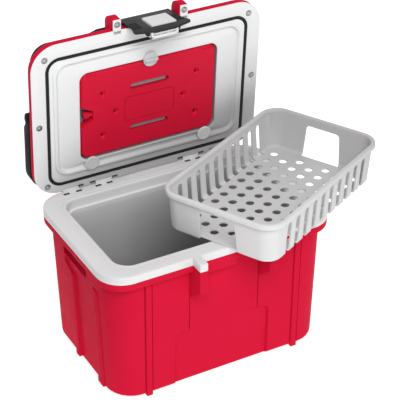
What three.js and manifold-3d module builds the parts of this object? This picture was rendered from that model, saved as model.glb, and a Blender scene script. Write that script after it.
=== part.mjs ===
// A small hard-sided personal cooler: a red double-wall tub with a white liner, a hinged lid with an
// ice pack held in it, a press-and-pull latch, a bail handle, and a slotted tray parked on the rim.
// Millimetres, +Z up, front towards -Y. The origin is on the floor, under the middle of the tub.
// The lid's parts are drawn closed and then turned open about the hinge.

import * as THREE from 'three';
import { mergeVertices } from 'three/addons/utils/BufferGeometryUtils.js';
import Module from 'manifold-3d';

const wasm = await Module();
wasm.setup();

// ---- driving dimensions ----
const WIDTH = 440; // rim and lid, along X
const DEPTH = 296; // rim and lid, along Y
const RIM_TOP = 264;
const RIM_THICKNESS = 15;
const RIM_RADIUS = 48;
const GAP = 0.4; // between pieces that touch
const OPENING_W = 366.6; // the mouth, inside the rim
const OPENING_D = 232.4;
const OPENING_RADIUS = 30;
const WALL = 3;
const LEDGE_DROP = 20; // the tray's ledge below the rim
const LEDGE_WIDTH = 5;

const FLOOR_GAP = 3; // the wall's lower edge above the ground
const NUB_REACH = 3; // how far a rib's foot stands out
const BASE_W = 407;
const BASE_D = 272;
const TOP_W = 421;
const BASE_RADIUS = 50; // the tub's corners
const TOP_RADIUS = 54;
const TOP_D = 281;
const FLANGE_DROP = 13;
const SIDE_RIBS = [[-83, -62], [16, 28]]; // spans along Y
const SIDE_RIB_TOP = 203;
const SIDE_FIELD_TOP = 188;
const KEEPER_LOW = -37; // the block the latch hooks under, along X
const KEEPER_HIGH = 20;
const RIM_BOTTOM = RIM_TOP - RIM_THICKNESS;
const FLANGE_BOTTOM = RIM_BOTTOM - FLANGE_DROP;

const HINGE_Y = 146.2;
const HINGE_Z = 269.5;
const LID_ANGLE = 86; // open at rest, in degrees
const LID_Z = RIM_TOP + 1; // the lid's flange plane when it is closed
const PIN_RADIUS = 1.8;
const KNUCKLE_RADIUS = 4.8;
const KNUCKLE_PITCH = 32;
const KNUCKLE_START = 168; // outer end of each hinge set
const HINGE_X = KNUCKLE_START - 2 * KNUCKLE_PITCH; // middle of each hinge set

const BAND_HEIGHT = 16; // the lid shell's straight edge
const BAND_INNER = 9; // the hollow inside it
const LATCH_BED = 12; // the edge is lower between the ears, under the latch's barrel
const LID_TOP = 38;
const ISLAND_X = 204; // half width of the raised top
const ISLAND_BACK = 110; // its back and front edges, along Y
const ISLAND_FRONT = -128;
const ISLAND_RADIUS = 40;
const ISLAND_LEAN = 0.1;
const PAD_THICKNESS = 4.6;
const PAD_X = 204; // half width of the pad on the raised top
const PAD_BACK = 108;
const PAD_FRONT = -131;
const PAD_RADIUS = 32;
const PAD_LIP = { reach: -135.4, root: 96, end: 80 }; // the pad's step forward behind the latch

const EARS_X = [-61.5, 65.5]; // ears on the lid, middle of each
const PRONGS_X = [-57.5, 76.5]; // prongs on the rim, middle of each
const EAR_WIDTH = 14.6;
const EAR_REACH = 168; // how far in front of the middle the ears end
const EAR_HEIGHT = 34;
const PRONG_REACH = 172;

const PIVOT_Y = -148; // the latch's pin
const PIVOT_T = 20;
const LATCH_X = 2; // middle of the latch's plate
const LATCH_HALF = 50;
const LATCH_FACE = 5; // the plate's outer face, in front of the pin

const PACK_W = 262;
const PACK_D = 170;
const PACK_T = 13.5; // back of the pack, above the flange plane
const PACK_THICKNESS = 16;
const DISH_T = 14;
const LAND_T = -2; // the flat round the pack's pocket
const BOSS_TOP = 8.5;
const PACK_Y = 5.5; // the pack's middle, along Y

const ARM_X = 213; // middle of the handle's arms
const ARM_THICKNESS = 12;
const ARM_T = 28; // height of the handle's pivots above the flange plane
const BAIL_REACH = 130;

const GASKET_W = 388.4; // the seal's outer size
const GASKET_D = 256.4;
const GASKET_Y = 5.4; // its middle, along Y
const GASKET_BAND = 6.2;
const GASKET_RADIUS = 26;

const TRAY_L = 365.4;
const TRAY_W = 231;
const TRAY_H = 78;
const TRAY_SLOT = { count: 10, pitch: 27.7, half: 6.5, low: 8, high: 62 };
const TRAY_HOLE = { rows: 7, columns: 11, pitchX: 28.2, pitchY: 27, radius: 7 };
const TRAY_WINDOW = { lowHalf: 38.5, highHalf: 35, high: 61, inner: 164 };
const TRAY_YAW = 27.2;
const TRAY_X = 140;
const TRAY_Y = -59;

// ---- colours ----
const RED = '#d31f3f';
const WHITE = '#e9eaeb';
const LIGHT_GREY = '#d6d7d8';
const CHARCOAL = '#3a3a3c';
const BLACK = '#1c1c1e';
const NAVY = '#1d2a3c';
const FOAM = '#e8dfb8';
const STEEL = '#a9abad';

const FINISH = {
  red: { color: RED, roughness: 0.45, metalness: 0 },
  white: { color: WHITE, roughness: 0.5, metalness: 0 },
  grey: { color: LIGHT_GREY, roughness: 0.5, metalness: 0 },
  charcoal: { color: CHARCOAL, roughness: 0.6, metalness: 0 },
  black: { color: BLACK, roughness: 0.75, metalness: 0 },
  navy: { color: NAVY, roughness: 0.75, metalness: 0 },
  foam: { color: FOAM, roughness: 0.95, metalness: 0 },
  steel: { color: STEEL, roughness: 0.35, metalness: 1 },
};

// ---- solids ----

// A closed geometry as a manifold solid: only positions, with shared vertices merged.
function solid(geometry) {
  const bare = geometry.clone();
  bare.deleteAttribute('normal');
  bare.deleteAttribute('uv');
  const merged = mergeVertices(bare, 1e-4);
  return new wasm.Manifold(new wasm.Mesh({
    numProp: 3,
    vertProperties: new Float32Array(merged.attributes.position.array),
    triVerts: new Uint32Array(merged.index.array),
  }));
}

function join(first, ...others) {
  return others.reduce((sum, piece) => sum.add(piece), first);
}

function cut(first, ...others) {
  return others.reduce((rest, piece) => rest.subtract(piece), first);
}

// A node: the solid's triangles with flat normals, under its own name and material.
function node(name, finish, shape) {
  const made = shape.getMesh();
  const geometry = new THREE.BufferGeometry();
  geometry.setAttribute('position', new THREE.BufferAttribute(made.vertProperties, made.numProp));
  geometry.setIndex(new THREE.BufferAttribute(made.triVerts, 1));
  const flat = geometry.toNonIndexed();
  flat.computeVertexNormals();
  const mesh = new THREE.Mesh(flat, new THREE.MeshStandardMaterial(FINISH[finish]));
  mesh.name = name;
  return mesh;
}

// A box given by its low and high corners.
function block(low, high) {
  const size = high.map((value, i) => value - low[i]);
  const middle = high.map((value, i) => (value + low[i]) / 2);
  return solid(new THREE.BoxGeometry(...size).translate(...middle));
}

// A rod from a radius along an axis letter, centred on a point.
function rod(axis, radius, length, at, sides = 16) {
  const geometry = new THREE.CylinderGeometry(radius, radius, length, sides);
  if (axis === 'x') geometry.rotateZ(Math.PI / 2);
  if (axis === 'z') geometry.rotateX(Math.PI / 2);
  return solid(geometry.translate(...at));
}

// A rounded rectangle's corner points, anticlockwise, with the same count at every size.
function ringPoints(width, depth, radius, corner = 6) {
  const points = [];
  const centres = [[1, 1], [-1, 1], [-1, -1], [1, -1]];
  centres.forEach(([sx, sy], quarter) => {
    for (let i = 0; i <= corner; i += 1) {
      const angle = (quarter + i / corner) * (Math.PI / 2);
      points.push([
        sx * (width / 2 - radius) + radius * Math.cos(angle),
        sy * (depth / 2 - radius) + radius * Math.sin(angle),
      ]);
    }
  });
  return points;
}

// A stack of rounded rectangles {z, w, d, r, y}, skinned into one closed solid.
function loft(levels, corner = 6) {
  const rings = levels.map(({ z, w, d, r, x = 0, y = 0 }) => (
    ringPoints(w, d, r, corner).map(([px, py]) => [px + x, py + y, z])
  ));
  const count = rings[0].length;
  const positions = rings.flat(2);
  const index = [];
  for (let level = 0; level + 1 < rings.length; level += 1) {
    for (let i = 0; i < count; i += 1) {
      const a = level * count + i;
      const b = level * count + ((i + 1) % count);
      index.push(a, b, b + count, a, b + count, a + count);
    }
  }
  const last = (rings.length - 1) * count;
  for (let i = 1; i + 1 < count; i += 1) {
    index.push(0, i + 1, i, last, last + i, last + i + 1);
  }
  const geometry = new THREE.BufferGeometry();
  geometry.setAttribute('position', new THREE.Float32BufferAttribute(positions, 3));
  geometry.setIndex(index);
  return solid(geometry);
}

// A straight-sided slab with rounded corners.
function slab(width, depth, radius, low, high, y = 0, corner = 6) {
  return loft([low, high].map((z) => ({ z, w: width, d: depth, r: radius, y })), corner);
}

// An outline in the YZ plane, as [y, z] points, extruded along X from low to high.
function extrudeX(points, low, high) {
  const shape = new THREE.Shape(points.map(([y, z]) => new THREE.Vector2(y, z)));
  const geometry = new THREE.ExtrudeGeometry(shape, { depth: high - low, bevelEnabled: false });
  const basis = new THREE.Matrix4().makeBasis(
    new THREE.Vector3(0, 1, 0),
    new THREE.Vector3(0, 0, 1),
    new THREE.Vector3(1, 0, 0),
  );
  return solid(geometry.applyMatrix4(basis).translate(low, 0, 0));
}

// An outline in the XY plane, as [x, y] points, extruded upwards from low to high.
function extrudeZ(points, low, high) {
  const shape = new THREE.Shape(points.map(([x, y]) => new THREE.Vector2(x, y)));
  const geometry = new THREE.ExtrudeGeometry(shape, { depth: high - low, bevelEnabled: false });
  return solid(geometry.translate(0, 0, low));
}

function mirrorX(make) {
  return [-1, 1].map(make);
}

// ---- the tub ----

function wallLevels(inset, low) {
  return [
    { z: low, w: BASE_W - 2 * inset, d: BASE_D - 2 * inset, r: BASE_RADIUS - inset },
    { z: FLANGE_BOTTOM, w: TOP_W - 2 * inset, d: TOP_D - 2 * inset, r: TOP_RADIUS - inset },
    { z: RIM_BOTTOM + 2, w: TOP_W - 2 * inset, d: TOP_D - 2 * inset, r: TOP_RADIUS - inset },
  ];
}

const POCKET = {
  y: 8, halfLength: 45, low: 206, high: FLANGE_BOTTOM, slotHalf: 37, slotLow: 208, slotHigh: 228, reach: 24,
};

function pocketHousing(side, growth) {
  const outer = side * (TOP_W / 2 - 1);
  const inner = side * (TOP_W / 2 - POCKET.reach - WALL - growth);
  return block(
    [Math.min(outer, inner), POCKET.y - POCKET.slotHalf - WALL - growth, POCKET.slotLow - WALL - growth],
    [Math.max(outer, inner), POCKET.y + POCKET.slotHalf + WALL + growth, POCKET.slotHigh + WALL + growth],
  );
}

function pocketCut(side) {
  const outer = side * (TOP_W / 2 + 6);
  const shallow = side * (TOP_W / 2 - 7);
  const deep = side * (TOP_W / 2 - POCKET.reach);
  return join(
    block(
      [Math.min(outer, shallow), POCKET.y - POCKET.halfLength, POCKET.low],
      [Math.max(outer, shallow), POCKET.y + POCKET.halfLength, POCKET.high],
    ),
    block(
      [Math.min(outer, deep), POCKET.y - POCKET.slotHalf, POCKET.slotLow],
      [Math.max(outer, deep), POCKET.y + POCKET.slotHalf, POCKET.slotHigh],
    ),
  );
}

// A tub wall's plane leans outwards going up; half is its distance from the middle at height z.
function wallHalf(base, top, z) {
  return (base + (top - base) * ((z - FLOOR_GAP) / (FLANGE_BOTTOM - FLOOR_GAP))) / 2;
}

// A raised rib on the front or back wall, ending in a foot on the ground.
function frontRib(x, side) {
  const low = wallHalf(BASE_D, TOP_D, FLOOR_GAP);
  const high = wallHalf(BASE_D, TOP_D, FLANGE_BOTTOM);
  const outline = [
    [side * (low - 8), 0], [side * (low + NUB_REACH), 0], [side * (low + NUB_REACH), 7],
    [side * (low + 0.9), 10], [side * (high + 0.9), FLANGE_BOTTOM], [side * (high - 4), FLANGE_BOTTOM],
  ];
  return extrudeX(side > 0 ? outline : outline.reverse(), x - 5.5, x + 5.5);
}

// Turns a piece drawn against the back wall onto an end wall, from low to high along Y.
function onEndWall(outline, low, high, side) {
  const drawn = side > 0 ? extrudeX(outline, -high, -low) : extrudeX(outline, low, high);
  return drawn.rotate([0, 0, -90 * side]);
}

// The same rib on an end wall.
function sideRib([low, high], side) {
  const base = wallHalf(BASE_W, TOP_W, FLOOR_GAP);
  const top = wallHalf(BASE_W, TOP_W, SIDE_RIB_TOP);
  return onEndWall([
    [base - 8, 0], [base + NUB_REACH, 0], [base + NUB_REACH, 7], [base + 0.9, 10],
    [top + 0.9, SIDE_RIB_TOP], [top - 4, SIDE_RIB_TOP],
  ], low, high, side);
}

// The sunk field between an end wall's ribs.
function sideField(side) {
  const base = wallHalf(BASE_W, TOP_W, FLOOR_GAP) - 2.5;
  const top = wallHalf(BASE_W, TOP_W, SIDE_FIELD_TOP) - 2.5;
  return onEndWall(
    [[base, -1], [base + 14, -1], [top + 14, SIDE_FIELD_TOP], [top, SIDE_FIELD_TOP]],
    SIDE_RIBS[0][1],
    SIDE_RIBS[1][0],
    side,
  );
}

function corbel(x) {
  const outline = [
    [-PRONG_REACH, RIM_BOTTOM - GAP], [-PRONG_REACH, 207], [-137, 179], [-132, 179], [-132, RIM_BOTTOM - GAP],
  ];
  return extrudeX(outline, x - EAR_WIDTH / 2, x + EAR_WIDTH / 2);
}

function bodyShell() {
  const outer = join(
    loft([
      { z: FLOOR_GAP, w: BASE_W - 8, d: BASE_D - 8, r: BASE_RADIUS - 4 },
      { z: FLOOR_GAP + 5, w: BASE_W, d: BASE_D, r: BASE_RADIUS },
      ...wallLevels(0, FLOOR_GAP + 6).slice(1, 2),
    ]),
    slab(WIDTH - 1, DEPTH - 1, RIM_RADIUS, FLANGE_BOTTOM, RIM_BOTTOM - GAP),
  );
  const ribs = [-144.5, 144.5].flatMap((x) => [frontRib(x, -1), frontRib(x, 1)]);
  const endRibs = SIDE_RIBS.flatMap((span) => mirrorX((side) => sideRib(span, side)));
  const corbels = PRONGS_X.map(corbel);
  const full = join(outer, ...ribs, ...endRibs, ...corbels);
  const inner = loft(wallLevels(WALL + 5, FLOOR_GAP + 6));
  const panelBase = wallHalf(BASE_D, TOP_D, FLOOR_GAP) - 4;
  const lowerPanel = extrudeX([
    [-panelBase - 20, -1], [-panelBase - 20, 115], [-panelBase - 2.8, 115], [-panelBase, -1],
  ], -91, 88);
  const upperPanel = extrudeX([
    [-160, 110], [-160, FLANGE_BOTTOM], [-137.5, FLANGE_BOTTOM], [-134.5, 110],
  ], PRONGS_X[0] + EAR_WIDTH / 2, PRONGS_X[1] - EAR_WIDTH);
  const keeper = block([KEEPER_LOW, -DEPTH / 2 + 1, 224], [KEEPER_HIGH, -135, RIM_BOTTOM - 4]);
  const hollow = cut(full, inner, lowerPanel, upperPanel, ...mirrorX(sideField));
  const housed = join(hollow, keeper, ...mirrorX((side) => pocketHousing(side, 0)));
  return cut(housed, ...mirrorX(pocketCut));
}

// The liner's tub: outside levels when grown by the wall, inside levels when not.
function tubLevels(growth, top) {
  const w = OPENING_W + 2 * growth;
  const d = OPENING_D + 2 * growth;
  const ledge = RIM_TOP - LEDGE_DROP;
  const step = 2 * LEDGE_WIDTH;
  return [
    { z: 34 - growth, w: w - 42, d: d - 42, r: 20 + growth },
    { z: 42 - growth, w: w - 30, d: d - 30, r: 24 + growth },
    { z: ledge - 1 - growth * 0.4, w: w - step, d: d - step, r: OPENING_RADIUS - LEDGE_WIDTH + growth },
    { z: ledge - growth * 0.4, w, d, r: OPENING_RADIUS + growth },
    { z: top, w, d, r: OPENING_RADIUS + growth },
  ];
}

function hingeKnuckle(low, high, embed) {
  const barrel = rod('x', KNUCKLE_RADIUS, high - low, [(low + high) / 2, HINGE_Y, HINGE_Z], 20);
  return join(barrel, embed(low, high));
}

function pinBore() {
  return join(...mirrorX((side) => (
    rod('x', PIN_RADIUS + GAP, 4 * KNUCKLE_PITCH + 4, [side * HINGE_X, HINGE_Y, HINGE_Z], 16)
  )));
}

// The x ranges of every second knuckle on both sides, from the first one given.
function knuckleRanges(first) {
  return mirrorX((side) => [first, first + 2].map((i) => {
    const outer = side * (KNUCKLE_START - i * KNUCKLE_PITCH - 0.5);
    const inner = side * (KNUCKLE_START - (i + 1) * KNUCKLE_PITCH + 0.5);
    return [Math.min(outer, inner), Math.max(outer, inner)];
  })).flat();
}

function bodyLiner() {
  const rim = slab(WIDTH, DEPTH, RIM_RADIUS, RIM_BOTTOM, RIM_TOP);
  const prongs = PRONGS_X.map((x) => block(
    [x - EAR_WIDTH / 2, -PRONG_REACH, RIM_BOTTOM],
    [x + EAR_WIDTH / 2, -DEPTH / 2 + 2, RIM_TOP],
  ));
  const knuckles = knuckleRanges(0).map(([low, high]) => hingeKnuckle(low, high, (a, b) => (
    block([a, HINGE_Y - KNUCKLE_RADIUS, RIM_TOP - 2], [b, HINGE_Y + 1.8, HINGE_Z])
  )));
  const body = join(rim, loft(tubLevels(WALL, RIM_TOP - 1)), ...prongs, ...knuckles);
  const groove = cut(
    slab(OPENING_W + 16, OPENING_D + 16, OPENING_RADIUS + 8, RIM_TOP - 0.8, RIM_TOP + 1),
    slab(OPENING_W + 13, OPENING_D + 13, OPENING_RADIUS + 6.5, RIM_TOP - 2, RIM_TOP + 2),
  );
  return cut(body, loft(tubLevels(0, RIM_TOP + 1)), groove, pinBore());
}

function bodyFoam() {
  const inside = loft(wallLevels(WALL + 5 + GAP, FLOOR_GAP + 6 + GAP)
    .map((level) => ({ ...level, z: Math.min(level.z, RIM_BOTTOM - GAP) })));
  const space = loft(tubLevels(WALL + GAP, RIM_TOP + 2));
  return cut(inside, space, ...mirrorX((side) => pocketHousing(side, GAP)));
}

// ---- the lid, drawn closed ----

const LID_SCREWS = [[195, -123], [208, 5], [196, 130]];

function lidPoint(t) {
  return LID_Z + t;
}

// The ice pack's pocket in the lid, grown on its sides.
function pocket(growth, low, high) {
  const play = 5 + 2 * growth;
  return slab(PACK_W + play, PACK_D + play, 16 + growth, lidPoint(low), lidPoint(high), PACK_Y);
}

function earPlate(x) {
  return block(
    [x - EAR_WIDTH / 2, -EAR_REACH, lidPoint(0)],
    [x + EAR_WIDTH / 2, -DEPTH / 2 + 6, lidPoint(2.3)],
  );
}

// The row of screws: countersunk heads on the flange, shanks up into the shell.
function screwPlaces() {
  const flange = mirrorX((side) => LID_SCREWS.map(([x, y]) => [side * x, y, 3.4, 9])).flat();
  const ears = EARS_X.map((x) => [x, -159, 3.4, 9]);
  return [...flange, ...ears];
}

function screwSolid([x, y, radius, length], growth) {
  const profile = [
    [0, 0.3 - growth], [radius + growth, 0.3 - growth], [radius + growth, 0.8], [1.5 + growth, 2.8 + growth],
    [1.5 + growth, length + growth], [0, length + growth],
  ].map(([r, z]) => new THREE.Vector2(r, z));
  const geometry = new THREE.LatheGeometry(profile, 12);
  geometry.rotateX(Math.PI / 2);
  return solid(geometry.translate(x, y, lidPoint(0)));
}

const RETAINERS = { knob: [0, -81.5], studs: [[-112, 101], [112, 101]] };

function retainerBoss([x, y]) {
  return rod('z', 6.5, BOSS_TOP - LAND_T, [x, y, lidPoint((BOSS_TOP + LAND_T) / 2)], 16);
}

function retainerBore([x, y]) {
  return rod('z', 4.4, BOSS_TOP + 6, [x, y, lidPoint(BOSS_TOP / 2 - 5)], 12);
}

// The seal's ring, or its seat when grown on both sides.
function gasketRing(growth, low, high) {
  const band = (inset, from, to) => slab(
    GASKET_W - 2 * inset, GASKET_D - 2 * inset, GASKET_RADIUS - inset, lidPoint(from), lidPoint(to), GASKET_Y,
  );
  return cut(band(-growth, low, high), band(GASKET_BAND + growth, low - 1, high + 1));
}

function lidLiner() {
  const flange = slab(WIDTH, DEPTH, RIM_RADIUS, lidPoint(0), lidPoint(2.2));
  const inner = slab(WIDTH - 12, DEPTH - 12, RIM_RADIUS - 6, lidPoint(0), lidPoint(5));
  const back = pocket(WALL, 4, DISH_T + 2.5);
  const bead = cut(
    slab(OPENING_W - 3, OPENING_D - 3, OPENING_RADIUS - 1.5, lidPoint(-4.5), lidPoint(1)),
    slab(OPENING_W - 17, OPENING_D - 17, OPENING_RADIUS - 8, lidPoint(-6), lidPoint(0)),
  );
  const land = loft([
    { z: lidPoint(LAND_T), w: PACK_W + 34, d: PACK_D + 12, r: 20, y: PACK_Y - 2 },
    { z: lidPoint(1), w: OPENING_W - 20, d: OPENING_D - 20, r: 21 },
  ]);
  const ears = EARS_X.map(earPlate);
  const knuckles = knuckleRanges(1).map(([low, high]) => hingeKnuckle(low, high, (a, b) => (
    block([a, HINGE_Y - 12, lidPoint(0)], [b, HINGE_Y + 1.8, HINGE_Z])
  )));
  const seat = gasketRing(GAP, -1, 3);
  const notches = knuckleRanges(0).map(([low, high]) => (
    block([low - 1, HINGE_Y - 6.4, lidPoint(-2)], [high + 1, DEPTH, lidPoint(20)])
  ));
  const bosses = [RETAINERS.knob, ...RETAINERS.studs].map(retainerBoss);
  const scallops = RETAINERS.studs.map(([x, y]) => rod('z', 12.8, 6, [x, y, lidPoint(-4.5)], 20));
  const bores = [RETAINERS.knob, ...RETAINERS.studs].map(retainerBore);
  const screws = screwPlaces().map((place) => screwSolid(place, GAP));
  const shape = cut(
    join(flange, inner, back, bead, land, ...ears, ...knuckles),
    pocket(0, -8, DISH_T), seat, ...notches, ...scallops,
  );
  return cut(join(shape, ...bosses), ...bores, ...screws, pinBore());
}

// The raised top, or the space inside it: its sides lean in going up.
function islandSlab(inset, low, high) {
  const y = (ISLAND_BACK + ISLAND_FRONT) / 2;
  return loft([low, high].map((t) => {
    const half = inset + ISLAND_LEAN * t;
    return {
      z: lidPoint(t),
      w: 2 * (ISLAND_X - half),
      d: ISLAND_BACK - ISLAND_FRONT - 2 * half,
      r: ISLAND_RADIUS - inset,
      y,
    };
  }));
}

function redEar(x) {
  const low = lidPoint(3);
  const top = lidPoint(EAR_HEIGHT);
  const round = 17;
  const outline = [[-EAR_REACH, low]];
  for (let i = 0; i <= 6; i += 1) {
    const angle = Math.PI - (i / 6) * (Math.PI / 2);
    outline.push([-EAR_REACH + round + round * Math.cos(angle), top - round + round * Math.sin(angle)]);
  }
  outline.push([-124, top], [-124, low]);
  return extrudeX(outline.reverse(), x - EAR_WIDTH / 2, x + EAR_WIDTH / 2);
}

function lidShell() {
  const band = slab(WIDTH - 0.8, DEPTH - 0.8, RIM_RADIUS, lidPoint(2.7), lidPoint(BAND_HEIGHT));
  const island = islandSlab(0, 10, LID_TOP);
  const bandHollow = slab(
    WIDTH - 11, DEPTH - 11, RIM_RADIUS - 5.5, lidPoint(0), lidPoint(BAND_INNER),
  );
  const islandHollow = islandSlab(WALL, 0, LID_TOP - WALL);
  const notches = knuckleRanges(0).map(([low, high]) => (
    block([low - 1, HINGE_Y - 6.4, lidPoint(-2)], [high + 1, DEPTH, lidPoint(20)])
  ));
  const clearKnuckles = mirrorX((side) => rod(
    'x', KNUCKLE_RADIUS + 0.6, 4 * KNUCKLE_PITCH + 1, [side * HINGE_X, HINGE_Y, HINGE_Z], 20,
  ));
  const knuckleRoots = knuckleRanges(1).map(([low, high]) => (
    block([low - GAP, HINGE_Y - 12.4, lidPoint(0)], [high + GAP, HINGE_Y + 2.2, HINGE_Z + GAP])
  ));
  const postLow = 5.4;
  const postHigh = BAND_INNER + 2.4;
  const screwPosts = screwPlaces().slice(0, 6).map(([x, y]) => (
    rod('z', 5, postHigh - postLow, [x, y, lidPoint((postLow + postHigh) / 2)], 12)
  ));
  const latchBed = block(
    [EARS_X[0], -DEPTH / 2 - 1, lidPoint(LATCH_BED)], [EARS_X[1], -136, lidPoint(BAND_HEIGHT + 1)],
  );
  const shell = cut(
    join(cut(band, latchBed), island, ...EARS_X.map(redEar)),
    bandHollow, islandHollow, ...notches, ...clearKnuckles, ...knuckleRoots,
  );
  const bores = screwPlaces().map((place) => screwSolid(place, GAP));
  const pivots = mirrorX((side) => rod('x', 5.4, 12, [side * (ISLAND_X - 2), 0, lidPoint(ARM_T)], 16));
  return cut(join(shell, ...screwPosts), ...bores, latchPinRod(GAP), ...pivots);
}

function lidFoam() {
  const core = join(
    slab(WIDTH - 30, DEPTH - 40, RIM_RADIUS - 15, lidPoint(5 + GAP), lidPoint(BAND_INNER - GAP)),
    islandSlab(WALL + GAP, 6, LID_TOP - WALL - GAP),
  );
  const dish = pocket(WALL + 1, 0, DISH_T + 2.9);
  const posts = screwPlaces().slice(0, 6).map(([x, y]) => rod('z', 5.5, 20, [x, y, lidPoint(8)], 12));
  const pivots = mirrorX((side) => rod('x', 9, 24, [side * (ISLAND_X - 4), 0, lidPoint(ARM_T)], 16));
  const ears = block([EARS_X[0] - 12, -DEPTH / 2, lidPoint(0)], [EARS_X[1] + 12, -119, lidPoint(40)]);
  const bosses = [RETAINERS.knob, ...RETAINERS.studs].map(([x, y]) => (
    rod('z', 8, 30, [x, y, lidPoint(-4)], 16)
  ));
  return cut(core, dish, ...posts, ...pivots, ears, ...bosses);
}

function lidTopPad() {
  const low = lidPoint(LID_TOP + GAP);
  const high = low + PAD_THICKNESS;
  const sheet = slab(2 * PAD_X, PAD_BACK - PAD_FRONT, PAD_RADIUS, low, high, (PAD_BACK + PAD_FRONT) / 2);
  const { reach, root, end } = PAD_LIP;
  const lip = extrudeZ([[-root, PAD_FRONT + 1], [-end, reach], [end, reach], [root, PAD_FRONT + 1]], low, high);
  return join(sheet, lip);
}

// ---- ice pack and its retainers ----

function roundSlot(width, height, y, z0, z1) {
  return slab(width, height, height / 2 - 0.01, z0, z1, y, 4);
}

function icePack() {
  const top = lidPoint(PACK_T);
  const face = lidPoint(PACK_T - PACK_THICKNESS);
  const y = PACK_Y;
  const block0 = loft([
    { z: face, w: PACK_W - 4, d: PACK_D - 4, r: 12, y },
    { z: face + 2, w: PACK_W, d: PACK_D, r: 14, y },
    { z: top - 2, w: PACK_W, d: PACK_D, r: 14, y },
    { z: top, w: PACK_W - 4, d: PACK_D - 4, r: 12, y },
  ], 4);
  const slots = [-34, 50].map((sy) => roundSlot(74, 12, sy, face - 2, top + 2));
  const dimples = [[-91, -33], [-66, 8], [-91, 50], [66, 8], [91, -33], [91, 50]].map(([x, dy]) => (
    rod('z', 4, 6, [x, dy, face + 0.5], 10)
  ));
  const notch = extrudeZ(
    [[-140, y - 25], [-108.5, y - 9], [-108.5, y + 9], [-140, y + 25]], face - 2, top + 2,
  );
  const neck = rod('x', 4.5, 12, [-112, y, (face + top) / 2], 12);
  const lowNotch = extrudeZ([[-12, 92], [-8, 87], [8, 87], [12, 92]], face - 2, top + 2);
  const retainers = [RETAINERS.knob, ...RETAINERS.studs].map(([x, ry]) => (
    rod('z', 14.5, PACK_THICKNESS + 4, [x, ry, (face + top) / 2], 20)
  ));
  return join(cut(block0, ...slots, ...dimples, notch, lowNotch, ...retainers), neck);
}

function icePackCap() {
  const z = lidPoint(PACK_T - PACK_THICKNESS / 2);
  return cut(
    rod('x', 7, 11, [-119.7, PACK_Y, z], 16),
    rod('x', 4.9, 8, [-116.4, PACK_Y, z], 12),
  );
}

function retainerKnob() {
  const [x, y] = RETAINERS.knob;
  const head = rod('z', 13.2, 3, [x, y, lidPoint(-4.5)], 24);
  const shaft = rod('z', 4, 10, [x, y, lidPoint(1)], 12);
  const fin = block([x - 11, y - 2, lidPoint(-10)], [x + 11, y + 2, lidPoint(-5)]);
  return join(head, shaft, fin);
}

function retainerStud([x, y]) {
  return join(rod('z', 12, 2.6, [x, y, lidPoint(-3.8)], 20), rod('z', 4, 9.5, [x, y, lidPoint(1.2)], 12));
}

// ---- latch ----

function latchPinRod(growth) {
  const length = EARS_X[1] - EARS_X[0] + EAR_WIDTH - 3 + 2 * growth;
  return rod('x', 2 + growth, length, [LATCH_X, PIVOT_Y, lidPoint(PIVOT_T)], 16);
}

const BUTTON_X = 10;
const LATCH_TILT = 8; // the plate's lower end stands forward of the pin by this angle, in degrees

function latchLean(shape) {
  const pivot = [0, PIVOT_Y, lidPoint(PIVOT_T)];
  return shape.translate(pivot.map((v) => -v)).rotate([-LATCH_TILT, 0, 0]).translate(pivot);
}

function latchLever() {
  const face = PIVOT_Y - LATCH_FACE;
  const half = LATCH_HALF;
  const outline = [
    [3 - half, 8], [3 - half, -21], [-half - 1.5, -63], [-30, -74], [30, -74], [half + 1.5, -63],
    [half - 3, -21], [half - 3, 8],
  ];
  const shape = new THREE.Shape(outline.map(([x, t]) => (
    new THREE.Vector2(LATCH_X + x, lidPoint(PIVOT_T + t))
  )));
  const plate = solid(new THREE.ExtrudeGeometry(shape, { depth: 4, bevelEnabled: false })
    .rotateX(Math.PI / 2).translate(0, face + 4, 0));
  const cheeks = mirrorX((side) => {
    const x = LATCH_X + side * (half - 6);
    return extrudeX([
      [face + 2, lidPoint(PIVOT_T + 7)], [face + 2, lidPoint(PIVOT_T - 4)],
      [face + 9, lidPoint(PIVOT_T - 4)], [face + 9, lidPoint(PIVOT_T + 4)],
    ], x - 2, x + 2);
  });
  const barrel = rod('x', 4.4, 60, [LATCH_X, PIVOT_Y, lidPoint(PIVOT_T)], 16);
  const window = block(
    [BUTTON_X - 25, face - 2, lidPoint(PIVOT_T - 55)], [BUTTON_X + 25, face + 5, lidPoint(PIVOT_T - 13)],
  );
  const across = (half, near, far, low, high) => block(
    [BUTTON_X - half, face + near, lidPoint(PIVOT_T + low)],
    [BUTTON_X + half, face + far, lidPoint(PIVOT_T + high)],
  );
  const frame = cut(across(29, 2, 6, -60, -36), across(26, -2, 12, -57, -33));
  const bore = rod('x', 2 + GAP, 140, [LATCH_X, PIVOT_Y, lidPoint(PIVOT_T)], 16);
  return latchLean(cut(join(plate, ...cheeks, barrel, frame), window, bore));
}

function latchButton() {
  const face = PIVOT_Y - LATCH_FACE;
  return latchLean(loftY([
    { y: face - 3, x: 22, low: -53, high: -17 },
    { y: face - 1.5, x: 24.4, low: -54.4, high: -14.4 },
    { y: face + 3, x: 24.4, low: -54.4, high: -14.4 },
  ]));
}

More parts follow.
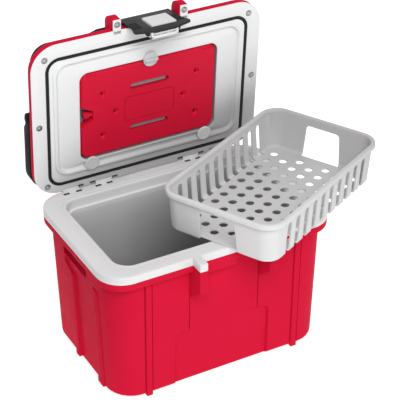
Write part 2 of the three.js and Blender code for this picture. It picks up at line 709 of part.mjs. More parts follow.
// A prism along Y between rectangles in X and height, wider or narrower from level to level.
function loftY(levels) {
  const positions = levels.flatMap(({ y, x, low, high }) => [
    BUTTON_X - x, y, lidPoint(PIVOT_T + low), BUTTON_X + x, y, lidPoint(PIVOT_T + low),
    BUTTON_X + x, y, lidPoint(PIVOT_T + high), BUTTON_X - x, y, lidPoint(PIVOT_T + high),
  ]);
  const index = [];
  for (let level = 0; level + 1 < levels.length; level += 1) {
    for (let i = 0; i < 4; i += 1) {
      const a = level * 4 + i;
      const b = level * 4 + ((i + 1) % 4);
      index.push(a, b + 4, b, a, a + 4, b + 4);
    }
  }
  const last = (levels.length - 1) * 4;
  index.push(0, 1, 2, 0, 2, 3, last, last + 2, last + 1, last, last + 3, last + 2);
  const geometry = new THREE.BufferGeometry();
  geometry.setAttribute('position', new THREE.Float32BufferAttribute(positions, 3));
  geometry.setIndex(index);
  return solid(geometry);
}

// ---- handle ----

function handleBail() {
  const arms = mirrorX((side) => extrudeX([
    [-8, lidPoint(ARM_T - 7.5)], [-11, lidPoint(ARM_T)], [-8, lidPoint(ARM_T + 7.5)],
    [0, lidPoint(ARM_T + 11)], [BAIL_REACH + 4, lidPoint(ARM_T + 11)], [BAIL_REACH + 12, lidPoint(ARM_T)],
    [BAIL_REACH + 4, lidPoint(ARM_T - 10)], [0, lidPoint(ARM_T - 11)],
  ], side * ARM_X - ARM_THICKNESS / 2, side * ARM_X + ARM_THICKNESS / 2));
  const bar = extrudeX([
    [BAIL_REACH - 12, lidPoint(ARM_T - 8)], [BAIL_REACH - 12, lidPoint(ARM_T + 8)],
    [BAIL_REACH - 8, lidPoint(ARM_T + 11)], [BAIL_REACH + 4, lidPoint(ARM_T + 11)],
    [BAIL_REACH + 12, lidPoint(ARM_T)], [BAIL_REACH + 4, lidPoint(ARM_T - 10)],
    [BAIL_REACH - 8, lidPoint(ARM_T - 10)],
  ], -ARM_X, ARM_X);
  const bores = mirrorX((side) => (
    rod('x', 5 + GAP, ARM_THICKNESS + 4, [side * ARM_X, 0, lidPoint(ARM_T)], 16)
  ));
  return cut(join(...arms, bar), ...bores);
}

function handlePivot(side) {
  const outer = side * (ARM_X + ARM_THICKNESS / 2);
  return join(
    rod('x', 5, 20, [outer - side * 9.5, 0, lidPoint(ARM_T)], 16),
    rod('x', 8, 2, [outer + side * 1.4, 0, lidPoint(ARM_T)], 16),
  );
}

// ---- tray, drawn about its own middle with its floor at z 0 ----

function trayShape() {
  const outer = loft([
    { z: 0, w: TRAY_L - 28, d: TRAY_W - 24, r: 22 },
    { z: 5, w: TRAY_L - 22, d: TRAY_W - 18, r: 26 },
    { z: TRAY_H - 9, w: TRAY_L - 12, d: TRAY_W - 10, r: 31 },
  ]);
  const lip = slab(TRAY_L, TRAY_W, 36, TRAY_H - 9, TRAY_H);
  const inner = loft([
    { z: 2.4, w: TRAY_L - 33, d: TRAY_W - 29, r: 19.5 },
    { z: 5, w: TRAY_L - 27, d: TRAY_W - 23, r: 23.5 },
    { z: TRAY_H - 9, w: TRAY_L - 17, d: TRAY_W - 15, r: 28.5 },
    { z: TRAY_H + 1, w: TRAY_L - 17, d: TRAY_W - 15, r: 28.5 },
  ]);
  const underLip = cut(
    slab(TRAY_L - 3, TRAY_W - 3, 34.5, TRAY_H - 12, TRAY_H - 2.4),
    slab(TRAY_L - 12, TRAY_W - 10, 31, TRAY_H - 13, TRAY_H),
  );
  const { count, pitch, half, low, high } = TRAY_SLOT;
  const slots = [];
  for (let i = 0; i < count; i += 1) {
    const x = pitch * (i - (count - 1) / 2);
    slots.push(block([x - half, -TRAY_W / 2 - 5, low], [x + half, TRAY_W / 2 + 5, high]));
    [-1, 1].forEach((side) => {
      const wall = side * (TRAY_W / 2 - 18);
      const past = wall + side * 23;
      slots.push(block([x - half, Math.min(wall, past), -2], [x + half, Math.max(wall, past), low + 1]));
    });
  }
  const { lowHalf, highHalf, high: windowTop, inner: windowInner } = TRAY_WINDOW;
  const ends = mirrorX((side) => {
    const span = [side * windowInner, side * (TRAY_L / 2 + 5)];
    return extrudeX([
      [-lowHalf, -2], [lowHalf, -2], [highHalf, windowTop], [-highHalf, windowTop],
    ], Math.min(...span), Math.max(...span));
  });
  const { rows, columns, pitchX, pitchY, radius } = TRAY_HOLE;
  const holes = [];
  for (let row = 0; row < rows; row += 1) {
    const across = columns - (row % 2);
    for (let col = 0; col < across; col += 1) {
      const x = pitchX * (col - (across - 1) / 2);
      holes.push(rod('z', radius, 8, [x, pitchY * (row - (rows - 1) / 2), 1], 8));
    }
  }
  return cut(join(outer, lip), inner, underLip, ...slots, ...ends, ...holes);
}

// ---- assembly ----

const cooler = new THREE.Group();
const hinge = new THREE.Group(); // turns the closed lid open about the hinge
const lid = new THREE.Group();
hinge.position.set(0, HINGE_Y, HINGE_Z);
hinge.rotation.x = -THREE.MathUtils.degToRad(LID_ANGLE);
lid.position.set(0, -HINGE_Y, -HINGE_Z);
hinge.add(lid);
cooler.add(hinge);

cooler.add(node('body_shell', 'red', bodyShell()));
cooler.add(node('body_liner', 'white', bodyLiner()));
cooler.add(node('body_foam', 'foam', bodyFoam()));
mirrorX((side) => {
  const pin = rod('x', PIN_RADIUS, 4 * KNUCKLE_PITCH - 2, [side * HINGE_X, HINGE_Y, HINGE_Z], 16);
  cooler.add(node(side < 0 ? 'hinge_pin_left' : 'hinge_pin_right', 'steel', pin));
});

lid.add(node('lid_liner', 'white', lidLiner()));
lid.add(node('lid_shell', 'red', lidShell()));
lid.add(node('lid_foam', 'foam', lidFoam()));
lid.add(node('lid_gasket', 'black', gasketRing(0, -0.5, 2.6)));
lid.add(node('lid_top_pad', 'navy', lidTopPad()));
screwPlaces().forEach((place, i) => {
  lid.add(node(`lid_screw_${i + 1}`, 'steel', screwSolid(place, 0)));
});
lid.add(node('ice_pack', 'red', icePack()));
lid.add(node('ice_pack_cap', 'red', icePackCap()));
lid.add(node('retainer_knob', 'grey', retainerKnob()));
lid.add(node('retainer_stud_left', 'grey', retainerStud(RETAINERS.studs[0])));
lid.add(node('retainer_stud_right', 'grey', retainerStud(RETAINERS.studs[1])));
lid.add(node('latch_pin', 'steel', latchPinRod(0)));
lid.add(node('latch_lever', 'charcoal', latchLever()));
lid.add(node('latch_button', 'white', latchButton()));
lid.add(node('handle_bail', 'black', handleBail()));
lid.add(node('handle_pivot_left', 'black', handlePivot(-1)));
lid.add(node('handle_pivot_right', 'black', handlePivot(1)));

const tray = node('tray', 'grey', trayShape());
tray.position.set(TRAY_X, TRAY_Y, RIM_TOP + GAP);
tray.rotation.z = THREE.MathUtils.degToRad(TRAY_YAW);
cooler.add(tray);

export default cooler;
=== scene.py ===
# The looks of a small hard cooler: shapes are drawn in millimetres in the CAD frame, then scaled to metres.
# The lid's pieces are drawn closed and turned open about the hinge.

import math

import bmesh
import bpy
from mathutils import Matrix, Vector


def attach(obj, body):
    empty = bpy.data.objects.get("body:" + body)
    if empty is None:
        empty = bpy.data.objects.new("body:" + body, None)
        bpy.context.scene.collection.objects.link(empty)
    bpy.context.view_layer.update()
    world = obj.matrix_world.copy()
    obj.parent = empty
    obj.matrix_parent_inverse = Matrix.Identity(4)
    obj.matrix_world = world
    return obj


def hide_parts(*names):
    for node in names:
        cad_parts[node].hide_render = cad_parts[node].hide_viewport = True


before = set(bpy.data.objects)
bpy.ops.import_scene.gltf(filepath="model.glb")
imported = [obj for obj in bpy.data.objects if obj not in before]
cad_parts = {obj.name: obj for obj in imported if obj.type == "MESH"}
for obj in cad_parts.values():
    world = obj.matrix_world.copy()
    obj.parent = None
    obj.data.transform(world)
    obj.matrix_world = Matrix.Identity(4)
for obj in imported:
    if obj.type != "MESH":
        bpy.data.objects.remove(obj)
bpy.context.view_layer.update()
scene = bpy.context.scene

# ---------------------------------------------------------------- camera

CAMERA_AT = (-1.0140, -1.8905, 1.6046)
CAMERA_LOOKS = (-0.0277, -0.10385, 0.3417)
CAMERA_LENS = 131.18
SENSOR_WIDTH = 36.0
camera = bpy.data.objects.new("camera", bpy.data.cameras.new("camera"))
camera.data.lens = CAMERA_LENS
camera.data.sensor_width = SENSOR_WIDTH
camera.location = CAMERA_AT
towards = Vector(CAMERA_LOOKS) - Vector(CAMERA_AT)
camera.rotation_euler = towards.to_track_quat("-Z", "Y").to_euler()
bpy.context.collection.objects.link(camera)
scene.camera = camera
scene.view_settings.view_transform = "Standard"

# ---------------------------------------------------------------- dimensions

MM = 0.001
RIM_TOP = 264.0
LID_Z = 265.0  # the lid's flange plane when it is closed
HINGE = (0.0, 146.2, 269.5)
LID_ANGLE = 86.0  # open at rest, in degrees
OUTER = (440.0, 296.0, 48.0)  # the rim and the lid
MOUTH = (366.6, 232.4, 30.0)
FLANGE = (439.4, 295.4, 47.8)
WALL_TOP = (421.0, 281.0, 54.0)
WALL_BASE = (407.0, 272.0, 50.0)
WALL_FOOT = 3.0  # the wall's lower edge above the ground
WALL_RISE = 233.0  # from there to its top
RIM_BASE = 249.1
GASKET = (388.4, 256.4, 26.0, 5.4)
ISLAND = (408.0, 238.0, 40.0, -9.0)
PAD = (408.0, 239.0, 32.0, -11.5)
BAND_HEIGHT = 16  # the lid shell's straight edge
LID_TOP = 38
EARS_X = (-61.5, 65.5)
PRONGS_X = (-57.5, 76.5)
EAR_W = 14.6
EAR_HEIGHT = 34
EAR_ROUND = 17
KNUCKLE_RADIUS = 4.8
KNUCKLE_PITCH = 32
KNUCKLE_START = 168.0  # outer end of each hinge set
PACK = (262.0, 170.0, 14.0)
PACK_Y = 5.5
PACK_SLOTS_Y = (-34, 50)
KNOB_Y = -81.5
STUDS_X = 112
STUDS_Y = 101
LATCH_X = 2.0
BUTTON_X = 10.0
PIVOT = (2.0, -148.0, 285.0)
LATCH_TILT = 8.0  # the plate's lower end stands forward of the pin by this angle, in degrees
ARM_X = 213.0  # middle of the handle's arms
ARM_T = 28  # height of the handle's pivots above the flange plane
TRAY_AT = (140.0, -59.0, RIM_TOP + 0.4)
TRAY_YAW = 27.2
TRAY_SLOTS = 10
TRAY_SLOT_PITCH = 27.7
HOLE_ROWS = 7
HOLE_COLUMNS = 11
HOLE_PITCH_X = 28.2
HOLE_PITCH_Y = 27
HOLE_RADIUS = 7.5


def turned_about(pivot, degrees):
    """A turn about the line along X through the pivot."""
    turn = Matrix.Rotation(math.radians(degrees), 4, "X")
    return Matrix.Translation(pivot) @ turn @ Matrix.Translation(-Vector(pivot))


OPEN_LID = turned_about(HINGE, -LID_ANGLE)
LEAN = turned_about(PIVOT, -LATCH_TILT)
TRAY_PLACE = Matrix.Translation(TRAY_AT) @ Matrix.Rotation(math.radians(TRAY_YAW), 4, "Z")
STAY = Matrix.Identity(4)

# ---------------------------------------------------------------- mesh helpers


def corner_ring(rect, off, z, n=10):
    """A rounded rectangle's points at height z, moved in by off.

    rect is width, depth and corner radius, then its middle's y and x where they aren't 0.
    """
    w, d, r = rect[0] - 2 * off, rect[1] - 2 * off, max(rect[2] - off, 0.5)
    cy = rect[3] if len(rect) > 3 else 0.0
    cx = rect[4] if len(rect) > 4 else 0.0
    out = []
    for q, (sx, sy) in enumerate(((1, 1), (-1, 1), (-1, -1), (1, -1))):
        for i in range(n + 1):
            a = (q + i / n) * math.pi / 2
            x = cx + sx * (w / 2 - r) + r * math.cos(a)
            y = cy + sy * (d / 2 - r) + r * math.sin(a)
            out.append((x, y, z))
    return out


def fillet(points, steps=5):
    """Rounds a profile: points are (off, z, radius); returns (off, z) pairs."""
    out = []
    for i, p in enumerate(points):
        r = p[2] if len(p) > 2 else 0.0
        if r <= 0 or i in (0, len(points) - 1):
            out.append((p[0], p[1]))
            continue
        here = Vector(p[:2])
        a = (Vector(points[i - 1][:2]) - here).normalized()
        b = (Vector(points[i + 1][:2]) - here).normalized()
        half = a.angle(b) / 2
        cut = r / math.tan(half)
        centre = here + (a + b).normalized() * (r / math.sin(half))
        start, end = here + a * cut - centre, here + b * cut - centre
        sweep = start.angle_signed(end)
        for k in range(steps + 1):
            v = start.copy()
            v.rotate(Matrix.Rotation(-sweep * k / steps, 2))
            out.append(tuple(centre + v))
    return out


def rings_of(rect, profile, steps=5, n=10):
    return [corner_ring(rect, off, z, n) for off, z in fillet(profile, steps)]


def skin(rings, cap_first=True, cap_last=True, around=True, loop=False):
    """A mesh through rings of the same count."""
    bm = bmesh.new()
    rows = [[bm.verts.new(p) for p in ring] for ring in rings]
    count = len(rows[0])
    pairs = list(zip(rows, rows[1:])) + ([(rows[-1], rows[0])] if loop else [])
    for low, high in pairs:
        for i in range(count if around else count - 1):
            j = (i + 1) % count
            bm.faces.new((low[i], low[j], high[j], high[i]))
    if not loop:
        if cap_first:
            bm.faces.new(list(reversed(rows[0])))
        if cap_last:
            bm.faces.new(rows[-1])
    bmesh.ops.remove_doubles(bm, verts=bm.verts, dist=1e-5)
    bmesh.ops.recalc_face_normals(bm, faces=bm.faces)
    return bm


def round_edges(bm, edges, r, steps):
    bmesh.ops.bevel(
        bm, geom=edges, offset=r, segments=steps, profile=0.5, affect="EDGES", clamp_overlap=True,
    )


def soft_box(low, high, r=0.8, steps=2):
    """A box with rounded edges."""
    bm = bmesh.new()
    spots = [(x, y, z) for z in (low[2], high[2]) for y in (low[1], high[1]) for x in (low[0], high[0])]
    v = [bm.verts.new(p) for p in spots]
    for face in ((0, 2, 3, 1), (4, 5, 7, 6), (0, 1, 5, 4), (2, 6, 7, 3), (0, 4, 6, 2), (1, 3, 7, 5)):
        bm.faces.new([v[i] for i in face])
    bmesh.ops.recalc_face_normals(bm, faces=bm.faces)
    if r > 0:
        round_edges(bm, bm.edges[:], r, steps)
    return bm


def prism(outline, low, high, axis="x", r=0.0, steps=2):
    """An outline extruded from low to high along an axis.

    Its two numbers are y, z along x; x, z along y; x, y along z.
    """
    place = {
        "x": lambda a, b, c: (c, a, b),
        "y": lambda a, b, c: (a, c, b),
        "z": lambda a, b, c: (a, b, c),
    }[axis]
    bm = bmesh.new()
    first = [bm.verts.new(place(a, b, low)) for a, b in outline]
    last = [bm.verts.new(place(a, b, high)) for a, b in outline]
    count = len(first)
    for i in range(count):
        j = (i + 1) % count
        bm.faces.new((first[i], first[j], last[j], last[i]))
    bm.faces.new(list(reversed(first)))
    bm.faces.new(last)
    bmesh.ops.recalc_face_normals(bm, faces=bm.faces)
    if r > 0:
        sharp = [e for e in bm.edges if len(e.link_faces) == 2 and e.calc_face_angle(0) > math.radians(25)]
        round_edges(bm, sharp, r, steps)
    return bm


def lathe(profile, at, axis="z", n=32):
    """A turned shape: profile is (radius, height) from axis to axis."""
    bm = bmesh.new()
    angles = [2 * math.pi * i / n for i in range(n)]
    rows = []
    for r, h in profile:
        rows.append([bm.verts.new((r * math.cos(a), r * math.sin(a), h)) for a in angles])
    for low, high in zip(rows, rows[1:]):
        for i in range(n):
            j = (i + 1) % n
            bm.faces.new((low[i], low[j], high[j], high[i]))
    bm.faces.new(list(reversed(rows[0])))
    bm.faces.new(rows[-1])
    turn = {
        "z": Matrix.Identity(4),
        "x": Matrix.Rotation(math.pi / 2, 4, "Y"),
        "y": Matrix.Rotation(-math.pi / 2, 4, "X"),
    }[axis]
    bmesh.ops.remove_doubles(bm, verts=bm.verts, dist=1e-5)
    bmesh.ops.recalc_face_normals(bm, faces=bm.faces)
    bmesh.ops.transform(bm, matrix=Matrix.Translation(at) @ turn, verts=bm.verts)
    return bm


def rod(axis, r, low, high, at, n=32, soft=0.0):
    """A round bar along an axis; soft rounds its ends."""
    if soft > 0:
        profile = [(r - soft, low), (r - soft * 0.3, low + soft * 0.3), (r, low + soft),
                   (r, high - soft), (r - soft * 0.3, high - soft * 0.3), (r - soft, high)]
    else:
        profile = [(r, low), (r, high)]
    return lathe(profile, at, axis, n)


def merged(*parts):
    """Several bmeshes as one."""
    bm = parts[0]
    for other in parts[1:]:
        mesh = bpy.data.meshes.new("part")
        other.to_mesh(mesh)
        other.free()
        bm.from_mesh(mesh)
        bpy.data.meshes.remove(mesh)
    return bm


def plain_object(bm, name="work"):
    mesh = bpy.data.meshes.new(name)
    bm.to_mesh(mesh)
    bm.free()
    obj = bpy.data.objects.new(name, mesh)
    bpy.context.collection.objects.link(obj)
    return obj


def combine(base, others, how):
    """base with every other solid joined to it or cut from it."""
    target = plain_object(base)
    tools = [plain_object(bm) for bm in others]
    for tool in tools:
        mod = target.modifiers.new("combine", "BOOLEAN")
        mod.operation = how
        mod.solver = "MANIFOLD"
        mod.object = tool
    depsgraph = bpy.context.evaluated_depsgraph_get()
    done = bpy.data.meshes.new_from_object(target.evaluated_get(depsgraph))
    result = bmesh.new()
    result.from_mesh(done)
    bpy.data.meshes.remove(done)
    for obj in [target, *tools]:
        mesh = obj.data
        bpy.data.objects.remove(obj)
        bpy.data.meshes.remove(mesh)
    if not result.faces:
        raise RuntimeError("a boolean left nothing")
    return result


def cut(base, *tools):
    return combine(base, tools, "DIFFERENCE")


def join(base, *tools):
    return combine(base, tools, "UNION")


def finish_piece(name, bm, material, body, place=STAY, stands_for=(), smooth=32.0, second=None):
    """The finished object, in metres, riding on its CAD body.

    second is a material and a test: faces whose middle passes the test, in drawing millimetres, take it.
    """
    bmesh.ops.remove_doubles(bm, verts=bm.verts, dist=1e-4)
    bmesh.ops.dissolve_limit(bm, angle_limit=math.radians(0.5), verts=bm.verts, edges=bm.edges)
    if second:
        for face in bm.faces:
            face.material_index = 1 if second[1](face.calc_center_median()) else 0
    bmesh.ops.transform(bm, matrix=Matrix.Scale(MM, 4) @ place, verts=bm.verts)
    obj = plain_object(bm, name)
    obj.data.materials.append(material)
    if second:
        obj.data.materials.append(second[0])
    obj.data.shade_smooth()
    sharp = math.radians(smooth)
    work = bmesh.new()
    work.from_mesh(obj.data)
    for edge in work.edges:
        edge.smooth = len(edge.link_faces) == 2 and edge.calc_face_angle(0) < sharp
    work.to_mesh(obj.data)
    work.free()
    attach(obj, body)
    if stands_for:
        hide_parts(*stands_for)
    return obj


# ---------------------------------------------------------------- materials


def srgb(r, g, b):
    """A display colour, 0 to 255, as the renderer's linear one."""
    def line(c):
        return c / 12.92 if c <= 0.04045 else ((c + 0.055) / 1.055) ** 2.4
    return tuple(line(c / 255) for c in (r, g, b)) + (1.0,)


def plastic(name, colour, roughness=0.4, grain=0.12, edge=0.0008, metallic=0.0, vary=0.04, shine=0.3):
    """Moulded plastic: slow colour drift, fine grain, smudges in the gloss, and softened edges."""
    mat = bpy.data.materials.new(name)
    mat.use_nodes = True
    tree = mat.node_tree
    nodes, links = tree.nodes, tree.links
    shader = nodes["Principled BSDF"]
    where = nodes.new("ShaderNodeTexCoord")
    drift = nodes.new("ShaderNodeTexNoise")
    drift.inputs["Scale"].default_value = 9.0
    drift.inputs["Detail"].default_value = 4.0
    links.new(where.outputs["Object"], drift.inputs["Vector"])
    tint = nodes.new("ShaderNodeMix")
    tint.data_type = "RGBA"
    dark = tuple(c * (1.0 - vary) for c in colour[:3]) + (1.0,)
    light = tuple(min(1.0, c * (1.0 + vary)) for c in colour[:3]) + (1.0,)
    tint.inputs["A"].default_value = dark
    tint.inputs["B"].default_value = light
    links.new(drift.outputs["Fac"], tint.inputs["Factor"])
    links.new(tint.outputs["Result"], shader.inputs["Base Color"])
    smudge = nodes.new("ShaderNodeTexNoise")
    smudge.inputs["Scale"].default_value = 38.0
    smudge.inputs["Detail"].default_value = 6.0
    smudge.inputs["Roughness"].default_value = 0.6
    links.new(where.outputs["Object"], smudge.inputs["Vector"])
    gloss = nodes.new("ShaderNodeMapRange")
    gloss.inputs["From Min"].default_value = 0.3
    gloss.inputs["From Max"].default_value = 0.7
    gloss.inputs["To Min"].default_value = roughness - 0.05
    gloss.inputs["To Max"].default_value = roughness + 0.07
    links.new(smudge.outputs["Fac"], gloss.inputs["Value"])
    links.new(gloss.outputs["Result"], shader.inputs["Roughness"])
    fine = nodes.new("ShaderNodeTexNoise")
    fine.inputs["Scale"].default_value = 1400.0
    fine.inputs["Detail"].default_value = 2.0
    links.new(where.outputs["Object"], fine.inputs["Vector"])
    soft = nodes.new("ShaderNodeBevel")
    soft.samples = 4
    soft.inputs["Radius"].default_value = edge
    bump = nodes.new("ShaderNodeBump")
    bump.inputs["Strength"].default_value = grain
    bump.inputs["Distance"].default_value = 0.0002
    links.new(fine.outputs["Fac"], bump.inputs["Height"])
    if edge > 0:
        links.new(soft.outputs["Normal"], bump.inputs["Normal"])
    links.new(bump.outputs["Normal"], shader.inputs["Normal"])
    shader.inputs["Metallic"].default_value = metallic
    shader.inputs["Specular IOR Level"].default_value = shine
    return mat


def deepen(mat, along, stops):
    """Multiplies a material's colour by a grey that changes along a direction, as painted-in shading.

    Stops are (metres, grey), in the frame's rest pose.
    """
    tree = mat.node_tree
    shader = tree.nodes["Principled BSDF"]
    source = shader.inputs["Base Color"].links[0].from_socket
    where = tree.nodes.new("ShaderNodeTexCoord")
    reach = tree.nodes.new("ShaderNodeVectorMath")
    reach.operation = "DOT_PRODUCT"
    reach.inputs[1].default_value = along
    tree.links.new(where.outputs["Object"], reach.inputs[0])
    low, high = stops[0][0], stops[-1][0]
    span = tree.nodes.new("ShaderNodeMapRange")
    span.inputs["From Min"].default_value = low
    span.inputs["From Max"].default_value = high
    tree.links.new(reach.outputs["Value"], span.inputs["Value"])
    ramp = tree.nodes.new("ShaderNodeValToRGB")
    while len(ramp.color_ramp.elements) < len(stops):
        ramp.color_ramp.elements.new(0.5)
    for element, (at, grey) in zip(ramp.color_ramp.elements, stops):
        element.position = (at - low) / (high - low)
        element.color = (grey, grey, grey, 1.0)
    tree.links.new(span.outputs["Result"], ramp.inputs["Fac"])
    mix = tree.nodes.new("ShaderNodeMix")
    mix.data_type = "RGBA"
    mix.blend_type = "MULTIPLY"
    mix.inputs["Factor"].default_value = 1.0
    tree.links.new(source, mix.inputs["A"])
    tree.links.new(ramp.outputs["Color"], mix.inputs["B"])
    tree.links.new(mix.outputs["Result"], shader.inputs["Base Color"])
    return mat


RED = plastic("red_moulded", (0.62, 0.009, 0.040, 1.0), 0.5, 0.10, shine=0.015)
PACK_RED = plastic("pack_red", (0.66, 0.008, 0.038, 1.0), 0.4, 0.10, edge=0.0012, shine=0.12)
WHITE = plastic("white_moulded", (0.74, 0.745, 0.75, 1.0), 0.45, 0.08, edge=0.0010, vary=0.015)
# painted light and shade: this white is brighter than the rim's, and the ramp darkens it towards the hinge
# and the lid's right end
LID_WHITE_PAINTED_LIGHT_SHADE = deepen(
    plastic("white_lid_painted_light_shade", (0.82, 0.825, 0.83, 1.0), 0.45, 0.08, edge=0.0010, vary=0.015),
    (-0.3, 0.0, 1.0),
    [(0.26, 0.50), (0.30, 0.56), (0.36, 0.88), (0.42, 1.0)],
)
# painted shade: the ramp darkens the tray towards its far end, where its inside lies in shade
TRAY_GREY_PAINTED_SHADE = deepen(
    plastic("tray_grey_painted_shade", (0.70, 0.705, 0.71, 1.0), 0.45, 0.08, edge=0.0008, vary=0.015),
    (0.889, 0.457, 0.0),
    [(-0.09, 1.0), (0.10, 0.88), (0.22, 0.80), (0.285, 0.68)],
)
CLIP_GREY = plastic("clip_grey", (0.62, 0.625, 0.63, 1.0), 0.45, 0.08, vary=0.02)
DARK = plastic("latch_dark", srgb(44, 44, 46), 0.55, 0.3, vary=0.08, shine=0.2)
BLACK = plastic("black_moulded", srgb(24, 24, 26), 0.6, 0.3, vary=0.1, shine=0.08)
# painted shade: the tub's white inside darkens with depth below the lip, most at about 10 cm up
TUB_INSIDE_PAINTED_SHADE = deepen(
    plastic("white_inside_painted_shade", (0.70, 0.705, 0.71, 1.0), 0.5, 0.08, edge=0.0010, vary=0.015, shine=0.15),
    (0.0, 0.0, 1.0),
    [(0.03, 0.72), (0.07, 0.50), (0.10, 0.40), (0.13, 0.52), (0.20, 0.68), (0.2442, 0.88)],
)
# painted shadow: a dark grey for the pieces that stand in for the shade in the hinge's gaps
SHADOW = plastic("hinge_gap_painted_shadow", srgb(66, 67, 69), 0.6, 0.08, vary=0.05, shine=0.1)
# painted shade: mid grey for the white pocket floor behind the ice pack, as if in shade
PACK_POCKET_PAINTED_SHADE = plastic("pack_pocket_painted_shade", srgb(150, 152, 154), 0.6, 0.08, vary=0.03, shine=0.1)
# painted shade: a dark red for the insides of the finger slots and the bottoms of the ice pack's dimples
RED_PAINTED_SHADE = plastic("red_painted_shade", (0.20, 0.003, 0.010, 1.0), 0.6, 0.10, shine=0.05)
RUBBER = plastic("seal_rubber", srgb(30, 30, 31), 0.7, 0.2, vary=0.1)
NAVY = plastic("pad_navy", srgb(24, 38, 56), 0.7, 0.3, vary=0.12)
STEEL = plastic("steel", srgb(168, 170, 172), 0.3, 0.05, metallic=1.0, vary=0.05)
FOAM = plastic("foam_core", srgb(226, 214, 170), 0.95, 0.9, vary=0.06)

# ---------------------------------------------------------------- tub


def wall_rect(z):
    """The tub wall's section at height z: it widens from foot to top."""
    k = (z - WALL_FOOT) / WALL_RISE
    return tuple(a + (b - a) * k for a, b in zip(WALL_BASE, WALL_TOP))


def body_shell():
    rings = [corner_ring(wall_rect(9), 8, 12)]
    rings += [corner_ring(wall_rect(z), 8, z) for z in (100, 236)]
    rings.append(corner_ring(WALL_TOP, 8, 248.7))
    rings += rings_of(FLANGE, [(7, 248.7), (0, 248.7, 0.6), (0, 236, 2.6), (5.5, 235.2)], 4)
    rings.append(corner_ring(WALL_TOP, 0.0, 234.0))
    rings += [corner_ring(wall_rect(z), 0, z) for z in (200, 150, 100, 50, 9)]
    for i in range(1, 6):
        a = i / 5 * math.pi / 2
        rings.append(corner_ring(wall_rect(9), 6 * (1 - math.cos(a)), 9 - 6 * math.sin(a)))
    shell = skin(rings)
    adds = [front_rib(x, side) for x in (-144.5, 144.5) for side in (-1, 1)]
    for side in (-1, 1):
        adds.append(side_rib(-83.0, -62.0, 203.0, side))
        adds.append(side_rib(16.0, 28.0, 178.0, side))
    adds += [corbel(x) for x in PRONGS_X]
    adds.append(soft_box((-37, -146.6, 224), (20, -134, 246), 1.0))
    cuts = [front_panel(), upper_panel()]
    cuts += [side_field(side, outline) for side in (-1, 1) for outline in (FIELD, FIELD_NECK)]
    cuts += [wall_line(x, 9.0, 233.0) for x in (-151.2, -137.8, 137.8, 151.2)]
    cuts += [wall_line(x, 112.0, 233.0) for x in (-67.2, 66.7)]
    cuts.append(panel_line())
    shell = cut(shell, *cuts)
    shell = join(shell, *adds, *[pocket_box(side) for side in (-1, 1)])
    return cut(shell, *[pocket_hole(side) for side in (-1, 1)], *[pocket_slot(side) for side in (-1, 1)])


def panel_line():
    """A fine groove round the lower panel's rounded top."""
    outer = rounded_outline(-94.4, 90.4, 4, 112.4, 15.4)[1:]
    inner = rounded_outline(-93.0, 89.0, 4, 111.0, 14)[1:]
    rings = []
    for (xo, zo), (xi, zi) in zip(outer + [(-94.4, 4.0)], inner + [(-93.0, 4.0)]):
        rings.append([
            (xo, -half_depth(zo) - 4, zo), (xo, -half_depth(zo) + 2.0, zo),
            (xi, -half_depth(zi) + 2.0, zi), (xi, -half_depth(zi) - 4, zi),
        ])
    return skin(rings)


FIELD = ((-62.0, -2.0), (16.0, -2.0), (16.0, 172.0), (-45.0, 188.0), (-62.0, 172.0))
FIELD_NECK = ((-44.0, 170.0), (15.0, 170.0), (52.0, 190.0), (52.0, 203.0), (-44.0, 203.0))


def wall_line(x, low, high):
    """A fine groove beside a rib on the front wall."""
    return prism([
        (-(half_depth(low) - 1.8), low), (-(half_depth(low) + 4), low), (-(half_depth(high) + 4), high),
        (-(half_depth(high) - 1.8), high),
    ], x - 0.8, x + 0.8, "x")


def half_depth(z):
    return wall_rect(z)[1] / 2


def half_width(z):
    return wall_rect(z)[0] / 2


def front_rib(x, side):
    """A flat rib with a small foot below it."""
    return prism([
        (side * (half_depth(3) - 8), 0.6), (side * (half_depth(3) + 2.4), 0.0),
        (side * (half_depth(3) + 3.2), 2.0), (side * (half_depth(3) + 3.2), 7.0),
        (side * (half_depth(10) + 1.9), 11.0),
        (side * (half_depth(234) + 1.8), 236.0), (side * (half_depth(234) - 4), 236.0),
    ], x - 5.5, x + 5.5, "x", 0.5)


def side_rib(low, high, top, side):
    """A flat rib on an end wall, ending below in a round foot."""
    mid = (low + high) / 2
    bm = prism([
        (side * (half_width(3) - 8), 1.5), (side * (half_width(3) + 1.2), 0.4),
        (side * (half_width(3) + 3.6), 4.0), (side * (half_width(3) + 3.6), 12.0),
        (side * (half_width(18) + 1.8), 18.0),
        (side * (half_width(top) + 1.6), top), (side * (half_width(top) - 4), top),
    ], low, high, "y", 0.5)
    for v in bm.verts:
        k = max(0.0, min(1.0, (9.0 - v.co.z) / 9.0))
        v.co.y = mid + (v.co.y - mid) * (1 - 0.35 * k * k)
    return bm


def corbel(x):
    """The bracket under a prong."""
    return prism([
        (-172.0, 248.6), (-172.0, 207.0), (-137.0, 179.0), (-130.0, 179.0), (-130.0, 248.6),
    ], x - EAR_W / 2, x + EAR_W / 2, "x", 0.8)


def rounded_outline(x0, x1, z0, z1, r, n=8):
    """An outline square at the bottom and rounded at the top."""
    out = [(x0, z0), (x1, z0)]
    for i in range(n + 1):
        a = i / n * math.pi / 2
        out.append((x1 - r + r * math.cos(a), z1 - r + r * math.sin(a)))
    for i in range(n + 1):
        a = math.pi / 2 + i / n * math.pi / 2
        out.append((x0 + r + r * math.cos(a), z1 - r + r * math.sin(a)))
    return out


def front_panel():
    """The sunk lower panel: deeper at the foot than at its top."""
    bm = prism(rounded_outline(-93, 89, -2, 111, 14), -160, -120, "y")
    for v in bm.verts:
        if v.co.y > -130:
            v.co.y = -(half_depth(max(v.co.z, 3)) - (6.2 - 2.6 * v.co.z / 111))
    return bm


